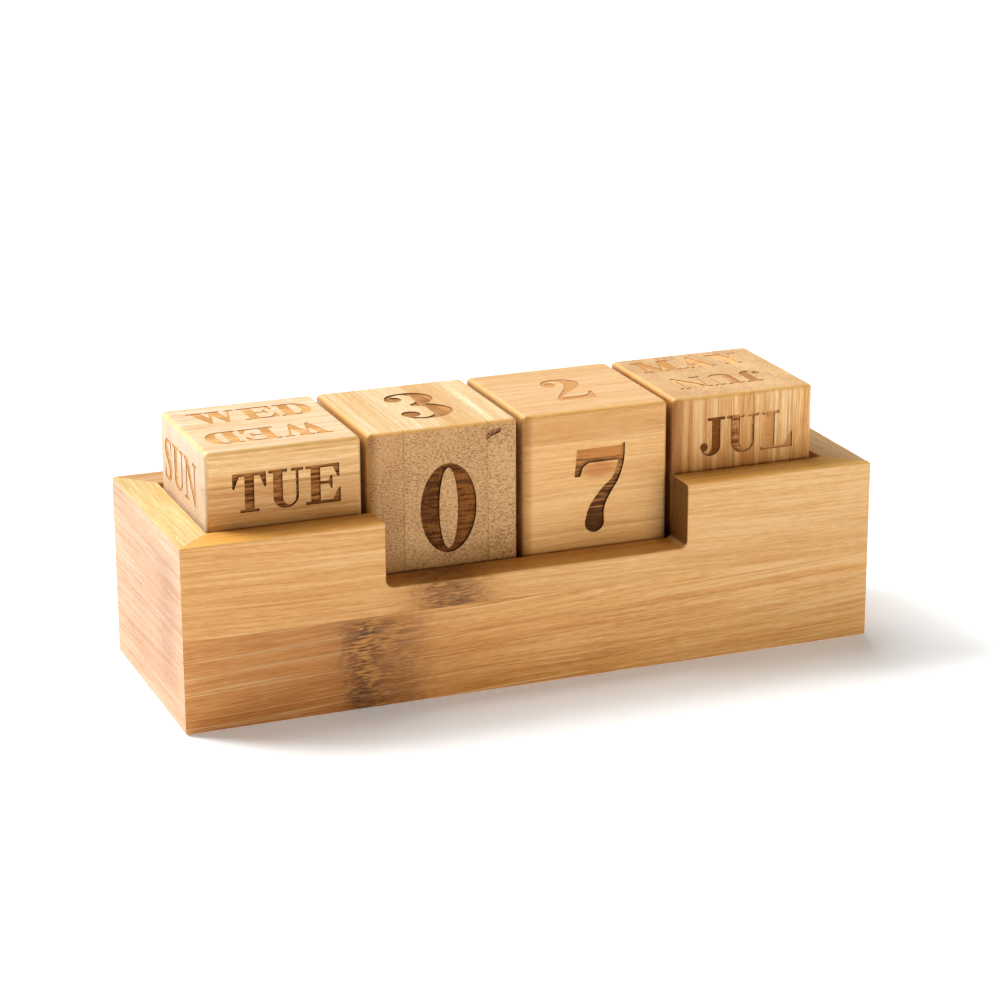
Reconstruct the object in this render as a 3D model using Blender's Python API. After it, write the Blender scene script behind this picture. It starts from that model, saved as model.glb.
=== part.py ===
"""Perpetual desk calendar in bamboo.

A mitred tray of edge-glued strips holds four loose cubes, each glued up from thinner pieces and engraved on all
six sides: the weekday, the two digits of the date and the month. The cubes are lifted out by hand and turned.

Metres, +Z up. The origin is under the middle of the tray, +X runs along the tray and -Y is its front.
"""

import functools
import math

import bmesh
import bpy
from mathutils import Matrix, Vector
from mathutils.geometry import delaunay_2d_cdt

# Cubes
BLOCK_SIDE = 0.040
BLOCK_EDGE = 0.0012
ENGRAVING_DEPTH = 0.0005

# Room round the cubes in the pocket
BLOCK_SPACE = 0.0014
LEFT_CLEARANCE = 0.0005
RIGHT_CLEARANCE = 0.0021
FRONT_CLEARANCE = 0.0015
BACK_CLEARANCE = 0.0018
REST_GAP = 0.0003

# Tray
WALL = 0.0096
TRAY_EDGE = 0.0004
POCKET_DEPTH = 0.0208
FLOOR_BOARD = 0.010
FLOOR_RECESS = 0.017
TONGUE = 0.004
TONGUE_REACH = 0.004
GROOVE_LAND = 0.0026
WINDOW_LIP = 0.004
WINDOW_RADIUS = 0.002

# Joints between glued pieces, and how far a cutter stands out of what it cuts
GLUE_GAP = 0.0003
CUT_OVERRUN = 0.0005

# Fineness of the round stretches
EDGE_SEGMENTS = 2
WINDOW_ARC_STEPS = 5
WORD_SIDES = 16
WORD_RIBBON_STEPS = 1
DIGIT_SIDES = 24
DIGIT_RIBBON_STEPS = 2
SHARP_ANGLE = math.radians(40)
FLAT_ANGLE = math.radians(1)

# Lettering, in shares of the cube's side or of a character's own height
WORD_HEIGHT_SHARE = 0.25
DIGIT_HEIGHT_SHARE = 0.585
ROW_OFFSET_SHARE = 0.222
LETTER_SPACE_SHARE = 0.06
SERIF_SHARE = 0.075
SERIF_REACH_SHARE = 0.12
MERGE_SHARE = 0.001

# Sizes that follow from the ones above
BLOCK_COUNT = 4
POCKET_LENGTH = LEFT_CLEARANCE + BLOCK_COUNT * BLOCK_SIDE + (BLOCK_COUNT - 1) * BLOCK_SPACE + RIGHT_CLEARANCE
POCKET_WIDTH = FRONT_CLEARANCE + BLOCK_SIDE + BACK_CLEARANCE
TRAY_LENGTH = POCKET_LENGTH + 2 * WALL
TRAY_WIDTH = POCKET_WIDTH + 2 * WALL
FLOOR_TOP = FLOOR_RECESS + FLOOR_BOARD
TRAY_HEIGHT = FLOOR_TOP + POCKET_DEPTH
GROOVE_LOW = FLOOR_RECESS - GLUE_GAP
GROOVE_HIGH = FLOOR_RECESS + TONGUE + GLUE_GAP
SEAM_HEIGHT = GROOVE_HIGH + GROOVE_LAND
WINDOW_WIDTH = 2 * BLOCK_SIDE + BLOCK_SPACE
WINDOW_FLOOR = FLOOR_TOP + WINDOW_LIP

# Colours, linear red, green and blue
TRAY_COLOUR = (0.56, 0.33, 0.13)
RIM_STRIP_COLOUR = (0.60, 0.36, 0.14)
BURNT_COLOUR = (0.12, 0.05, 0.02)
TONE_SHARES = (1.0, 0.93, 1.04, 0.97)
WOOD_ROUGHNESS = 0.55
BURNT_ROUGHNESS = 0.8

# The strokes of each character, in shares of its height. A bar has two corners. A post is an upright bar from
# x to x and from y to y, with serifs at its foot, its head or both. An area is a list of corners. A band lies
# between two ellipses, each given by its centre and radii, from one angle to another in degrees. A ribbon is a
# smooth line through points with a width each. A dot is a disc.
GLYPH_SHARES = {
    "A": (
        ("area", (0.12, 0), (0.20, 0), (0.49, 0.90), (0.46, 1)),
        ("area", (0.58, 0), (0.87, 0), (0.54, 1), (0.46, 1), (0.353, 0.687)),
        ("bar", 0.21, 0.27, 0.62, 0.335),
        ("bar", 0, 0, 0.32, 0.075),
        ("bar", 0.46, 0, 0.98, 0.075),
    ),
    "B": (
        ("post", 0.10, 0.37, 0, 1, ""),
        ("bar", 0, 0, 0.42, 0.075),
        ("bar", 0, 0.925, 0.42, 1),
        ("bar", 0.3, 0.465, 0.42, 0.555),
        ("band", (0.42, 0.74), (0.32, 0.26), (0.42, 0.74), (0.09, 0.185), -90, 90),
        ("band", (0.42, 0.27), (0.38, 0.27), (0.42, 0.27), (0.12, 0.195), -90, 90),
    ),
    "C": (
        ("band", (0.44, 0.5), (0.44, 0.5), (0.47, 0.5), (0.20, 0.43), 48, 290),
        ("area", (0.82, 1), (0.77, 1), (0.70, 0.91), (0.60, 0.82), (0.72, 0.76), (0.78, 0.62), (0.82, 0.62)),
        ("ribbon", (0.55, 0.06, 0.075), (0.66, 0.09, 0.065), (0.76, 0.17, 0.05), (0.815, 0.31, 0.045)),
    ),
    "D": (
        ("post", 0.10, 0.37, 0, 1, ""),
        ("bar", 0, 0, 0.45, 0.075),
        ("bar", 0, 0.925, 0.45, 1),
        ("band", (0.45, 0.5), (0.43, 0.5), (0.45, 0.5), (0.155, 0.425), -90, 90),
    ),
    "E": (
        ("post", 0.13, 0.38, 0, 1, ""),
        ("bar", 0, 0, 0.88, 0.075),
        ("bar", 0, 0.925, 0.87, 1),
        ("bar", 0.3, 0.50, 0.66, 0.57),
        ("area", (0.87, 1), (0.69, 0.95), (0.82, 0.66), (0.87, 0.66)),
        ("area", (0.90, 0), (0.68, 0.04), (0.85, 0.37), (0.90, 0.37)),
        ("area", (0.69, 0.37), (0.69, 0.70), (0.65, 0.70), (0.57, 0.535), (0.65, 0.37)),
    ),
    "F": (
        ("post", 0.12, 0.39, 0, 1, ""),
        ("bar", 0, 0, 0.51, 0.075),
        ("bar", 0, 0.925, 0.82, 1),
        ("bar", 0.3, 0.47, 0.60, 0.54),
        ("area", (0.82, 1), (0.64, 0.95), (0.77, 0.64), (0.82, 0.64)),
        ("area", (0.63, 0.36), (0.63, 0.65), (0.59, 0.65), (0.52, 0.505), (0.59, 0.36)),
    ),
    "G": (
        ("band", (0.44, 0.5), (0.44, 0.5), (0.47, 0.5), (0.20, 0.43), 48, 310),
        ("area", (0.82, 1), (0.77, 1), (0.70, 0.91), (0.60, 0.82), (0.72, 0.76), (0.78, 0.62), (0.82, 0.62)),
        ("bar", 0.58, 0.06, 0.84, 0.40),
        ("bar", 0.49, 0.36, 0.93, 0.435),
    ),
    "H": (
        ("post", 0.12, 0.37, 0, 1, "foot head"),
        ("post", 0.68, 0.93, 0, 1, "foot head"),
        ("bar", 0.3, 0.47, 0.75, 0.54),
    ),
    "I": (("post", 0.10, 0.37, 0, 1, "foot head"),),
    "J": (
        ("post", 0.33, 0.57, 0.24, 1, "head"),
        ("band", (0.30, 0.24), (0.27, 0.24), (0.205, 0.24), (0.125, 0.185), 190, 360),
        ("dot", (0.115, 0.25), 0.105),
    ),
    "L": (
        ("post", 0.16, 0.40, 0, 1, "head"),
        ("bar", 0, 0, 0.88, 0.075),
        ("area", (0.90, 0), (0.64, 0.04), (0.85, 0.40), (0.90, 0.40)),
    ),
    "M": (
        ("post", 0.13, 0.20, 0, 0.96, "foot"),
        ("post", 0.78, 1.05, 0, 1, "foot"),
        ("bar", 0.02, 0.925, 0.30, 1),
        ("bar", 0.80, 0.925, 1.15, 1),
        ("area", (0.06, 1), (0.34, 1), (0.64, 0.16), (0.60, 0), (0.51, 0)),
        ("area", (0.80, 1), (0.88, 1), (0.60, 0), (0.54, 0)),
    ),
    "N": (
        ("post", 0.13, 0.20, 0, 0.96, "foot"),
        ("post", 0.79, 0.86, 0.05, 1, "head"),
        ("bar", 0.02, 0.925, 0.30, 1),
        ("area", (0.04, 1), (0.33, 1), (0.86, 0.12), (0.86, 0), (0.77, 0)),
    ),
    "O": (
        ("band", (0.44, 0.5), (0.44, 0.5), (0.44, 0.5), (0.165, 0.43), 90, 270),
        ("band", (0.44, 0.5), (0.44, 0.5), (0.44, 0.5), (0.165, 0.43), -90, 90),
    ),
    "P": (
        ("post", 0.10, 0.37, 0, 1, "foot"),
        ("bar", 0, 0.925, 0.42, 1),
        ("bar", 0.3, 0.42, 0.42, 0.495),
        ("band", (0.42, 0.71), (0.36, 0.29), (0.42, 0.71), (0.11, 0.215), -90, 90),
    ),
    "R": (
        ("post", 0.10, 0.37, 0, 1, "foot"),
        ("bar", 0, 0.925, 0.42, 1),
        ("bar", 0.3, 0.44, 0.42, 0.515),
        ("band", (0.42, 0.72), (0.34, 0.28), (0.42, 0.72), (0.10, 0.205), -90, 90),
        (
            "ribbon",
            (0.42, 0.475, 0.07),
            (0.55, 0.41, 0.17),
            (0.62, 0.22, 0.24),
            (0.69, 0.07, 0.16),
            (0.80, 0.035, 0.07),
            (0.87, 0.09, 0.05),
        ),
    ),
    "S": (
        (
            "ribbon",
            (0.54, 0.84, 0.06),
            (0.46, 0.935, 0.07),
            (0.31, 0.965, 0.07),
            (0.17, 0.89, 0.15),
            (0.16, 0.73, 0.22),
            (0.31, 0.57, 0.28),
            (0.45, 0.42, 0.28),
            (0.51, 0.26, 0.22),
            (0.44, 0.10, 0.15),
            (0.29, 0.035, 0.07),
            (0.15, 0.07, 0.07),
            (0.07, 0.19, 0.06),
        ),
        ("area", (0.57, 1), (0.49, 0.90), (0.53, 0.66), (0.57, 0.66)),
        ("area", (0.04, 0), (0.12, 0.10), (0.08, 0.36), (0.04, 0.36)),
    ),
    "T": (
        ("post", 0.31, 0.55, 0, 1, "foot"),
        ("bar", 0, 0.925, 0.86, 1),
        ("area", (0, 1), (0.18, 0.95), (0.05, 0.62), (0, 0.62)),
        ("area", (0.86, 1), (0.68, 0.95), (0.81, 0.62), (0.86, 0.62)),
    ),
    "U": (
        ("post", 0.12, 0.36, 0.29, 1, "head"),
        ("post", 0.70, 0.77, 0.29, 1, "head"),
        ("band", (0.445, 0.29), (0.325, 0.29), (0.53, 0.29), (0.17, 0.215), 180, 360),
    ),
    "V": (
        ("bar", 0, 0.925, 0.49, 1),
        ("bar", 0.64, 0.925, 0.92, 1),
        ("area", (0.10, 1), (0.39, 1), (0.60, 0.25), (0.52, 0), (0.45, 0)),
        ("area", (0.74, 1), (0.81, 1), (0.53, 0), (0.47, 0)),
    ),
    "W": (
        ("bar", 0, 0.925, 0.45, 1),
        ("bar", 0.48, 0.925, 0.88, 1),
        ("bar", 1.00, 0.925, 1.25, 1),
        ("area", (0.09, 1), (0.36, 1), (0.52, 0.25), (0.46, 0), (0.39, 0)),
        ("area", (0.60, 1), (0.66, 1), (0.47, 0), (0.41, 0)),
        ("area", (0.52, 1), (0.79, 1), (0.95, 0.25), (0.89, 0), (0.82, 0)),
        ("area", (1.08, 1), (1.15, 1), (0.90, 0), (0.84, 0)),
    ),
    "Y": (
        ("post", 0.34, 0.61, 0, 0.48, "foot"),
        ("bar", 0, 0.925, 0.47, 1),
        ("bar", 0.65, 0.925, 0.92, 1),
        ("area", (0.08, 1), (0.38, 1), (0.61, 0.50), (0.61, 0.42), (0.34, 0.42)),
        ("area", (0.75, 1), (0.82, 1), (0.61, 0.45), (0.54, 0.48)),
    ),
    "0": (
        ("band", (0.32, 0.5), (0.32, 0.5), (0.32, 0.5), (0.105, 0.45), 90, 270),
        ("band", (0.32, 0.5), (0.32, 0.5), (0.32, 0.5), (0.105, 0.45), -90, 90),
    ),
    "1": (
        ("post", 0.12, 0.36, 0, 1, ""),
        ("bar", 0, 0, 0.48, 0.055),
        ("area", (0.30, 1), (0.20, 1), (0, 0.87), (0, 0.82), (0.14, 0.86)),
    ),
    "2": (
        ("dot", (0.145, 0.765), 0.10),
        (
            "ribbon",
            (0.065, 0.80, 0.05),
            (0.14, 0.925, 0.06),
            (0.28, 0.965, 0.07),
            (0.42, 0.90, 0.16),
            (0.47, 0.75, 0.23),
            (0.38, 0.55, 0.16),
            (0.22, 0.36, 0.08),
            (0.09, 0.18, 0.06),
            (0.04, 0.06, 0.06),
        ),
        ("area", (0.01, 0), (0.55, 0), (0.60, 0.30), (0.555, 0.30), (0.49, 0.17), (0.40, 0.13), (0.05, 0.13)),
    ),
    "3": (
        ("dot", (0.125, 0.79), 0.095),
        ("dot", (0.125, 0.205), 0.105),
        (
            "ribbon",
            (0.055, 0.80, 0.05),
            (0.12, 0.925, 0.05),
            (0.27, 0.975, 0.05),
            (0.41, 0.90, 0.16),
            (0.455, 0.76, 0.23),
            (0.39, 0.60, 0.14),
            (0.24, 0.53, 0.05),
        ),
        (
            "ribbon",
            (0.24, 0.53, 0.05),
            (0.41, 0.47, 0.13),
            (0.49, 0.27, 0.25),
            (0.42, 0.09, 0.15),
            (0.26, 0.025, 0.05),
            (0.11, 0.07, 0.05),
            (0.05, 0.19, 0.05),
        ),
    ),
    "4": (
        ("post", 0.34, 0.57, 0, 1, ""),
        ("bar", 0.22, 0, 0.68, 0.055),
        ("bar", 0, 0.21, 0.67, 0.27),
        ("area", (0.42, 1), (0.36, 1), (0, 0.27), (0, 0.23), (0.05, 0.23)),
    ),
    "5": (
        ("dot", (0.13, 0.195), 0.105),
        ("bar", 0.075, 0.50, 0.125, 0.97),
        ("area", (0.075, 1), (0.075, 0.86), (0.30, 0.83), (0.49, 0.85), (0.53, 1), (0.30, 0.965)),
        (
            "ribbon",
            (0.09, 0.52, 0.05),
            (0.18, 0.595, 0.05),
            (0.32, 0.61, 0.09),
            (0.44, 0.51, 0.19),
            (0.48, 0.32, 0.25),
            (0.42, 0.12, 0.17),
            (0.27, 0.025, 0.05),
            (0.12, 0.065, 0.05),
            (0.05, 0.18, 0.05),
        ),
    ),
    "6": (
        ("dot", (0.475, 0.83), 0.085),
        ("band", (0.33, 0.30), (0.30, 0.30), (0.33, 0.30), (0.09, 0.25), 90, 270),
        ("band", (0.33, 0.30), (0.30, 0.30), (0.33, 0.30), (0.09, 0.25), -90, 90),
        (
            "ribbon",
            (0.14, 0.28, 0.20),
            (0.13, 0.50, 0.22),
            (0.19, 0.74, 0.15),
            (0.33, 0.93, 0.06),
            (0.46, 0.955, 0.05),
            (0.53, 0.87, 0.05),
        ),
    ),
    "7": (
        ("dot", (0.245, 0.115), 0.115),
        ("area", (0.03, 0.985), (0, 0.67), (0.07, 0.67), (0.10, 0.77), (0.17, 0.82), (0.53, 0.82), (0.60, 0.985)),
        ("area", (0.57, 0.97), (0.575, 1.01), (0.61, 1.01), (0.61, 0.88), (0.58, 0.80)),
        (
            "ribbon",
            (0.575, 0.96, 0.06),
            (0.563, 0.80, 0.075),
            (0.50, 0.61, 0.08),
            (0.40, 0.49, 0.12),
            (0.325, 0.385, 0.15),
            (0.27, 0.275, 0.19),
            (0.25, 0.17, 0.22),
            (0.245, 0.115, 0.225),
        ),
    ),
    "8": (
        ("band", (0.31, 0.755), (0.25, 0.245), (0.31, 0.755), (0.095, 0.195), 90, 270),
        ("band", (0.31, 0.755), (0.25, 0.245), (0.31, 0.755), (0.095, 0.195), -90, 90),
        ("band", (0.31, 0.27), (0.30, 0.27), (0.31, 0.27), (0.105, 0.215), 90, 270),
        ("band", (0.31, 0.27), (0.30, 0.27), (0.31, 0.27), (0.105, 0.215), -90, 90),
    ),
}

# Up and outward directions of each side of a cube, as its lettering reads
SIDES = {
    "front": (Vector((0, 0, 1)), Vector((0, -1, 0))),
    "back": (Vector((0, 0, 1)), Vector((0, 1, 0))),
    "left": (Vector((0, 0, 1)), Vector((-1, 0, 0))),
    "right": (Vector((0, 0, 1)), Vector((1, 0, 0))),
    "top": (Vector((0, 1, 0)), Vector((0, 0, 1))),
    "bottom": (Vector((0, -1, 0)), Vector((0, 0, -1))),
}

# Each cube: the name and direction of the pieces that it is glued from, where the seams lie along that
# direction, its colour and its lettering. A side with two words has the second one upside down below the first.
# A placing moves a side's lettering right and up, in shares of the cube's side, and resizes it.
BLOCKS = (
    {
        "name": "day_block",
        "piece": "ply",
        "along": Vector((0, 0, 1)),
        "seam_shares": (0.26, 0.52, 0.775),
        "colour": (0.62, 0.42, 0.21),
        "lettering": {
            "front": ("TUE", "TUE"),
            "top": ("WED", "WED"),
            "left": ("SUN", "SAT"),
            "right": ("MON", "MON"),
            "back": ("THU", "THU"),
            "bottom": ("FRI", "FRI"),
        },
        "placing_shares": {"front": (0.015, 0, 1), "top": (0.015, 0, 1)},
    },
    {
        "name": "left_number_block",
        "piece": "board",
        "along": Vector((1, 0, 0)),
        "seam_shares": (0.24, 0.80),
        "colour": (0.46, 0.29, 0.14),
        "lettering": {"front": "0", "top": "3", "left": "1", "right": "2", "back": "4", "bottom": "5"},
        "placing_shares": {"front": (0.035, -0.035, 1), "top": (0.0225, 0, 1)},
    },
    {
        "name": "right_number_block",
        "piece": "ply",
        "along": Vector((0, 0, 1)),
        "seam_shares": (0.21, 0.60, 0.80),
        "colour": (0.62, 0.41, 0.19),
        "lettering": {"front": "7", "top": "2", "left": "0", "right": "1", "back": "6", "bottom": "8"},
        "placing_shares": {"front": (0.03, -0.03, 1), "top": (0, -0.015, 0.8)},
    },
    {
        "name": "month_block",
        "piece": "strip",
        "along": Vector((1, 0, 0)),
        "seam_shares": tuple(step / 7 for step in range(1, 7)),
        "colour": (0.56, 0.35, 0.16),
        "lettering": {
            "front": ("JUL", "AUG"),
            "top": ("MAY", "JUN"),
            "left": ("JAN", "FEB"),
            "right": ("MAR", "APR"),
            "back": ("SEP", "OCT"),
            "bottom": ("NOV", "DEC"),
        },
        "placing_shares": {"front": (0.0275, 0, 1.02)},
    },
)


def clear_scene():
    for item in list(bpy.data.objects):
        bpy.data.objects.remove(item, do_unlink=True)


def wood(name, colour, tone_share, roughness):
    """A plain material in the colour of one piece."""
    material = bpy.data.materials.new(name)
    material.use_nodes = True
    shader = material.node_tree.nodes["Principled BSDF"]
    shader.inputs["Base Color"].default_value = (*(part * tone_share for part in colour), 1)
    shader.inputs["Roughness"].default_value = roughness
    shader.inputs["Metallic"].default_value = 0
    return material


def add_object(name, shape, material, parent):
    """Turns a finished bmesh into a named object under its parent."""
    bmesh.ops.recalc_face_normals(shape, faces=shape.faces[:])
    mesh = bpy.data.meshes.new(name)
    shape.to_mesh(mesh)
    shape.free()
    mesh.materials.append(material)
    item = bpy.data.objects.new(name, mesh)
    item.parent = parent
    bpy.context.scene.collection.objects.link(item)
    return item


def add_empty(name, location):
    """The carrier of one group of pieces that moves as one."""
    empty = bpy.data.objects.new(name, None)
    empty.empty_display_size = BLOCK_SIDE
    empty.location = location
    bpy.context.scene.collection.objects.link(empty)
    return empty


def push(shape, faces, along):
    """Extrudes faces by a vector, which closes a lone face into a prism."""
    moved = bmesh.ops.extrude_face_region(shape, geom=faces)["geom"]
    verts = [item for item in moved if isinstance(item, bmesh.types.BMVert)]
    bmesh.ops.translate(shape, vec=along, verts=verts)


def prism(outline, along):
    shape = bmesh.new()
    face = shape.faces.new([shape.verts.new(point) for point in outline])
    push(shape, [face], along)
    bmesh.ops.recalc_face_normals(shape, faces=shape.faces[:])
    return shape


def keep_side(shape, point, outward):
    """Drops what lies beyond a plane and closes the cut."""
    everything = shape.verts[:] + shape.edges[:] + shape.faces[:]
    cut = bmesh.ops.bisect_plane(shape, geom=everything, plane_co=point, plane_no=outward, clear_outer=True)
    rim = [item for item in cut["geom_cut"] if isinstance(item, bmesh.types.BMEdge)]
    bmesh.ops.holes_fill(shape, edges=rim)


def ease(shape, edges, width):
    bmesh.ops.bevel(shape, geom=edges, offset=width, segments=EDGE_SEGMENTS, profile=0.5, affect="EDGES")


def is_mitre(face):
    return min(abs(face.normal.x), abs(face.normal.y)) > math.sin(FLAT_ANGLE)


def shown_edges(shape, is_shown):
    """The sharp edges between two faces that are shown."""
    return [
        edge
        for edge in shape.edges
        if all(is_shown(face) for face in edge.link_faces) and edge.calc_face_angle() > SHARP_ANGLE
    ]


def mitre_ends(shape, length):
    """Cuts both ends of a wall at 45 degrees, with half of the glue gap taken off each."""
    setback = GLUE_GAP / math.sqrt(2)
    for side in (-1, 1):
        keep_side(shape, Vector((side * (length / 2 - setback), 0, 0)), Vector((side, 1, 0)))


def lower_strip(length):
    """A strip on the ground, outer face at y = 0, with the floor's groove along its inner face."""
    groove_back = WALL - TONGUE_REACH - GLUE_GAP
    top = SEAM_HEIGHT - GLUE_GAP / 2
    section = (
        (0, 0),
        (WALL, 0),
        (WALL, GROOVE_LOW),
        (groove_back, GROOVE_LOW),
        (groove_back, GROOVE_HIGH),
        (WALL, GROOVE_HIGH),
        (WALL, top),
        (0, top),
    )
    shape = prism([(-length / 2, y, z) for y, z in section], Vector((length, 0, 0)))
    mitre_ends(shape, length)
    ease(
        shape,
        shown_edges(
            shape,
            lambda face: not is_mitre(face) and face.normal.z <= 0 and face.calc_center_median().z < GROOVE_LOW,
        ),
        TRAY_EDGE,
    )
    return shape


def window_outline():
    """The open window from its right top corner to its left one, round the two lower corners."""
    points = [(WINDOW_WIDTH / 2, TRAY_HEIGHT)]
    for side, turn in ((1, 0), (-1, -90)):
        for step in range(WINDOW_ARC_STEPS + 1):
            angle = math.radians(turn - 90 * step / WINDOW_ARC_STEPS)
            x = side * (WINDOW_WIDTH / 2 - WINDOW_RADIUS) + WINDOW_RADIUS * math.cos(angle)
            points.append((x, WINDOW_FLOOR + WINDOW_RADIUS + WINDOW_RADIUS * math.sin(angle)))
    points.append((-WINDOW_WIDTH / 2, TRAY_HEIGHT))
    return points


def upper_strip(length, opening):
    """A strip up to the rim, outer face at y = 0. The opening is what its rim line dips round, if anything."""
    bottom = SEAM_HEIGHT + GLUE_GAP / 2
    elevation = [
        (-length / 2, bottom),
        (length / 2, bottom),
        (length / 2, TRAY_HEIGHT),
        *opening,
        (-length / 2, TRAY_HEIGHT),
    ]
    shape = prism([(x, 0, z) for x, z in elevation], Vector((0, WALL, 0)))
    mitre_ends(shape, length)
    ease(shape, shown_edges(shape, lambda face: not is_mitre(face) and face.normal.z >= -0.5), TRAY_EDGE)
    return shape


def floor_panel():
    """The pocket's floor: a board whose lower part reaches into the grooves as a tongue."""
    reach_x = POCKET_LENGTH / 2 + TONGUE_REACH
    reach_y = POCKET_WIDTH / 2 + TONGUE_REACH
    outline = [(-reach_x, -reach_y), (reach_x, -reach_y), (reach_x, reach_y), (-reach_x, reach_y)]
    shape = prism([(x, y, FLOOR_RECESS) for x, y in outline], Vector((0, 0, TONGUE)))
    top = max(shape.faces, key=lambda face: face.calc_center_median().z)
    bmesh.ops.inset_region(shape, faces=[top], thickness=TONGUE_REACH + GLUE_GAP, use_even_offset=True)
    push(shape, [top], Vector((0, 0, FLOOR_BOARD - TONGUE)))
    bmesh.ops.delete(shape, geom=[top], context="FACES_ONLY")
    return shape


def build_tray():
    """Four mitred walls of two edge-glued strips each, round the floor panel."""
    tray = add_empty("tray", (0, 0, 0))
    walls = (
        ("front", TRAY_LENGTH, (0, -TRAY_WIDTH / 2, 0), 0, window_outline()),
        ("right", TRAY_WIDTH, (TRAY_LENGTH / 2, 0, 0), 90, ()),
        ("back", TRAY_LENGTH, (0, TRAY_WIDTH / 2, 0), 180, ()),
        ("left", TRAY_WIDTH, (-TRAY_LENGTH / 2, 0, 0), 270, ()),
    )
    for (side, length, place, turn, opening), tone_share in zip(walls, TONE_SHARES):
        for level, shape, colour in (
            ("lower", lower_strip(length), TRAY_COLOUR),
            ("upper", upper_strip(length, opening), RIM_STRIP_COLOUR),
        ):
            name = f"{side}_wall_{level}_strip"
            strip = add_object(name, shape, wood(name, colour, tone_share, WOOD_ROUGHNESS), tray)
            strip.location = place
            strip.rotation_euler.z = math.radians(turn)
    floor_wood = wood("floor_panel", TRAY_COLOUR, TONE_SHARES[-1], WOOD_ROUGHNESS)
    add_object("floor_panel", floor_panel(), floor_wood, tray)


def arc(centre, radii, start, end, sides):
    """Points of an ellipse from one angle to another, in degrees."""
    steps = max(2, round(sides * abs(end - start) / 360))
    angles = [math.radians(start + (end - start) * step / steps) for step in range(steps + 1)]
    return [Vector((centre[0] + radii[0] * math.cos(a), centre[1] + radii[1] * math.sin(a))) for a in angles]


def rectangle(left, low, right, high):
    return [Vector((left, low)), Vector((right, low)), Vector((right, high)), Vector((left, high))]


def post(left, right, low, high, serifs):
    """An upright bar with the serifs that are named."""
    bars = [rectangle(left, low, right, high)]
    if "foot" in serifs:
        bars.append(rectangle(left - SERIF_REACH_SHARE, low, right + SERIF_REACH_SHARE, low + SERIF_SHARE))
    if "head" in serifs:
        bars.append(rectangle(left - SERIF_REACH_SHARE, high - SERIF_SHARE, right + SERIF_REACH_SHARE, high))
    return bars


def smooth_line(points, steps):
    """Points of a smooth curve that passes through the given ones."""
    ends = [points[0], *points, points[-1]]
    line = []
    for before, first, second, after in zip(ends, ends[1:], ends[2:], ends[3:]):
        for step in range(steps):
            t = step / steps
            bend = 2 * before - 5 * first + 4 * second - after
            line.append(
                first + ((second - before) * t + bend * t**2 + (3 * first - before - 3 * second + after) * t**3) / 2
            )
    return [*line, points[-1]]


def ribbon(points, steps):
    """Triangles along a smooth line whose points have an x, a y and a width."""
    line = smooth_line([Vector(point) for point in points], steps)
    rims = []
    for place, before, after in zip(line, [line[0], *line], [*line[1:], line[-1]]):
        across = Vector((before.y - after.y, after.x - before.x)).normalized() * place.z / 2
        rims.append((place.xy + across, place.xy - across))
    pieces = []
    for (left, right), (next_left, next_right) in zip(rims, rims[1:]):
        pieces += [[left, right, next_right], [left, next_right, next_left]]
    return pieces


def strokes_of(character, sides, ribbon_steps):
    """The outlines of a character's strokes, which may overlap."""
    outlines = []
    for kind, *numbers in GLYPH_SHARES[character]:
        if kind == "bar":
            outlines.append(rectangle(*numbers))
        elif kind == "post":
            outlines += post(*numbers)
        elif kind == "area":
            outlines.append([Vector(point) for point in numbers])
        elif kind == "band":
            outer_centre, outer_radii, inner_centre, inner_radii, start, end = numbers
            inner = arc(inner_centre, inner_radii, end, start, sides)
            outlines.append(arc(outer_centre, outer_radii, start, end, sides) + inner)
        elif kind == "ribbon":
            outlines += ribbon(numbers, ribbon_steps)
        elif kind == "dot":
            centre, radius = numbers
            outlines.append(arc(centre, (radius, radius), 0, 360, sides)[:-1])
    return outlines


def signed_area(outline):
    return sum(here.cross(there) for here, there in zip(outline, [*outline[1:], outline[0]])) / 2


@functools.cache
def glyph(character, sides, ribbon_steps):
    """Points and triangles of the area that a character's strokes cover together."""
    points, outlines = [], []
    for outline in strokes_of(character, sides, ribbon_steps):
        area = signed_area(outline)
        if abs(area) < MERGE_SHARE**2:
            continue
        outlines.append(list(range(len(points), len(points) + len(outline))))
        points += outline if area > 0 else outline[::-1]
    points, _, triangles, _, _, sources = delaunay_2d_cdt(points, [], outlines, 1, MERGE_SHARE)
    return points, [triangle for triangle, source in zip(triangles, sources) if source]


def engrave_line(shape, text, place, height, sides, ribbon_steps):
    """Adds a prism for each character of a line of text that is centred on a place."""
    glyphs = [glyph(character, sides, ribbon_steps) for character in text]
    reaches = [(min(p.x for p in points), max(p.x for p in points)) for points, _ in glyphs]
    left = -(sum(high - low for low, high in reaches) + LETTER_SPACE_SHARE * (len(text) - 1)) / 2
    inward = place.to_3x3() @ Vector((0, 0, -CUT_OVERRUN - ENGRAVING_DEPTH))
    for (points, triangles), (low, high) in zip(glyphs, reaches):
        flat = bmesh.new()
        verts = [
            flat.verts.new(place @ Vector(((left + p.x - low) * height, (p.y - 0.5) * height, CUT_OVERRUN)))
            for p in points
        ]
        for triangle in triangles:
            flat.faces.new([verts[corner] for corner in triangle])
        loose = [vert for vert in flat.verts if not vert.link_faces]
        bmesh.ops.delete(flat, geom=loose, context="VERTS")
        bmesh.ops.dissolve_limit(flat, angle_limit=FLAT_ANGLE, verts=flat.verts[:], edges=flat.edges[:])
        push(flat, flat.faces[:], inward)
        bmesh.ops.recalc_face_normals(flat, faces=flat.faces[:])
        carried = bpy.data.meshes.new("character")
        flat.to_mesh(carried)
        flat.free()
        shape.from_mesh(carried)
        bpy.data.meshes.remove(carried)
        left += high - low + LETTER_SPACE_SHARE


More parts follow.
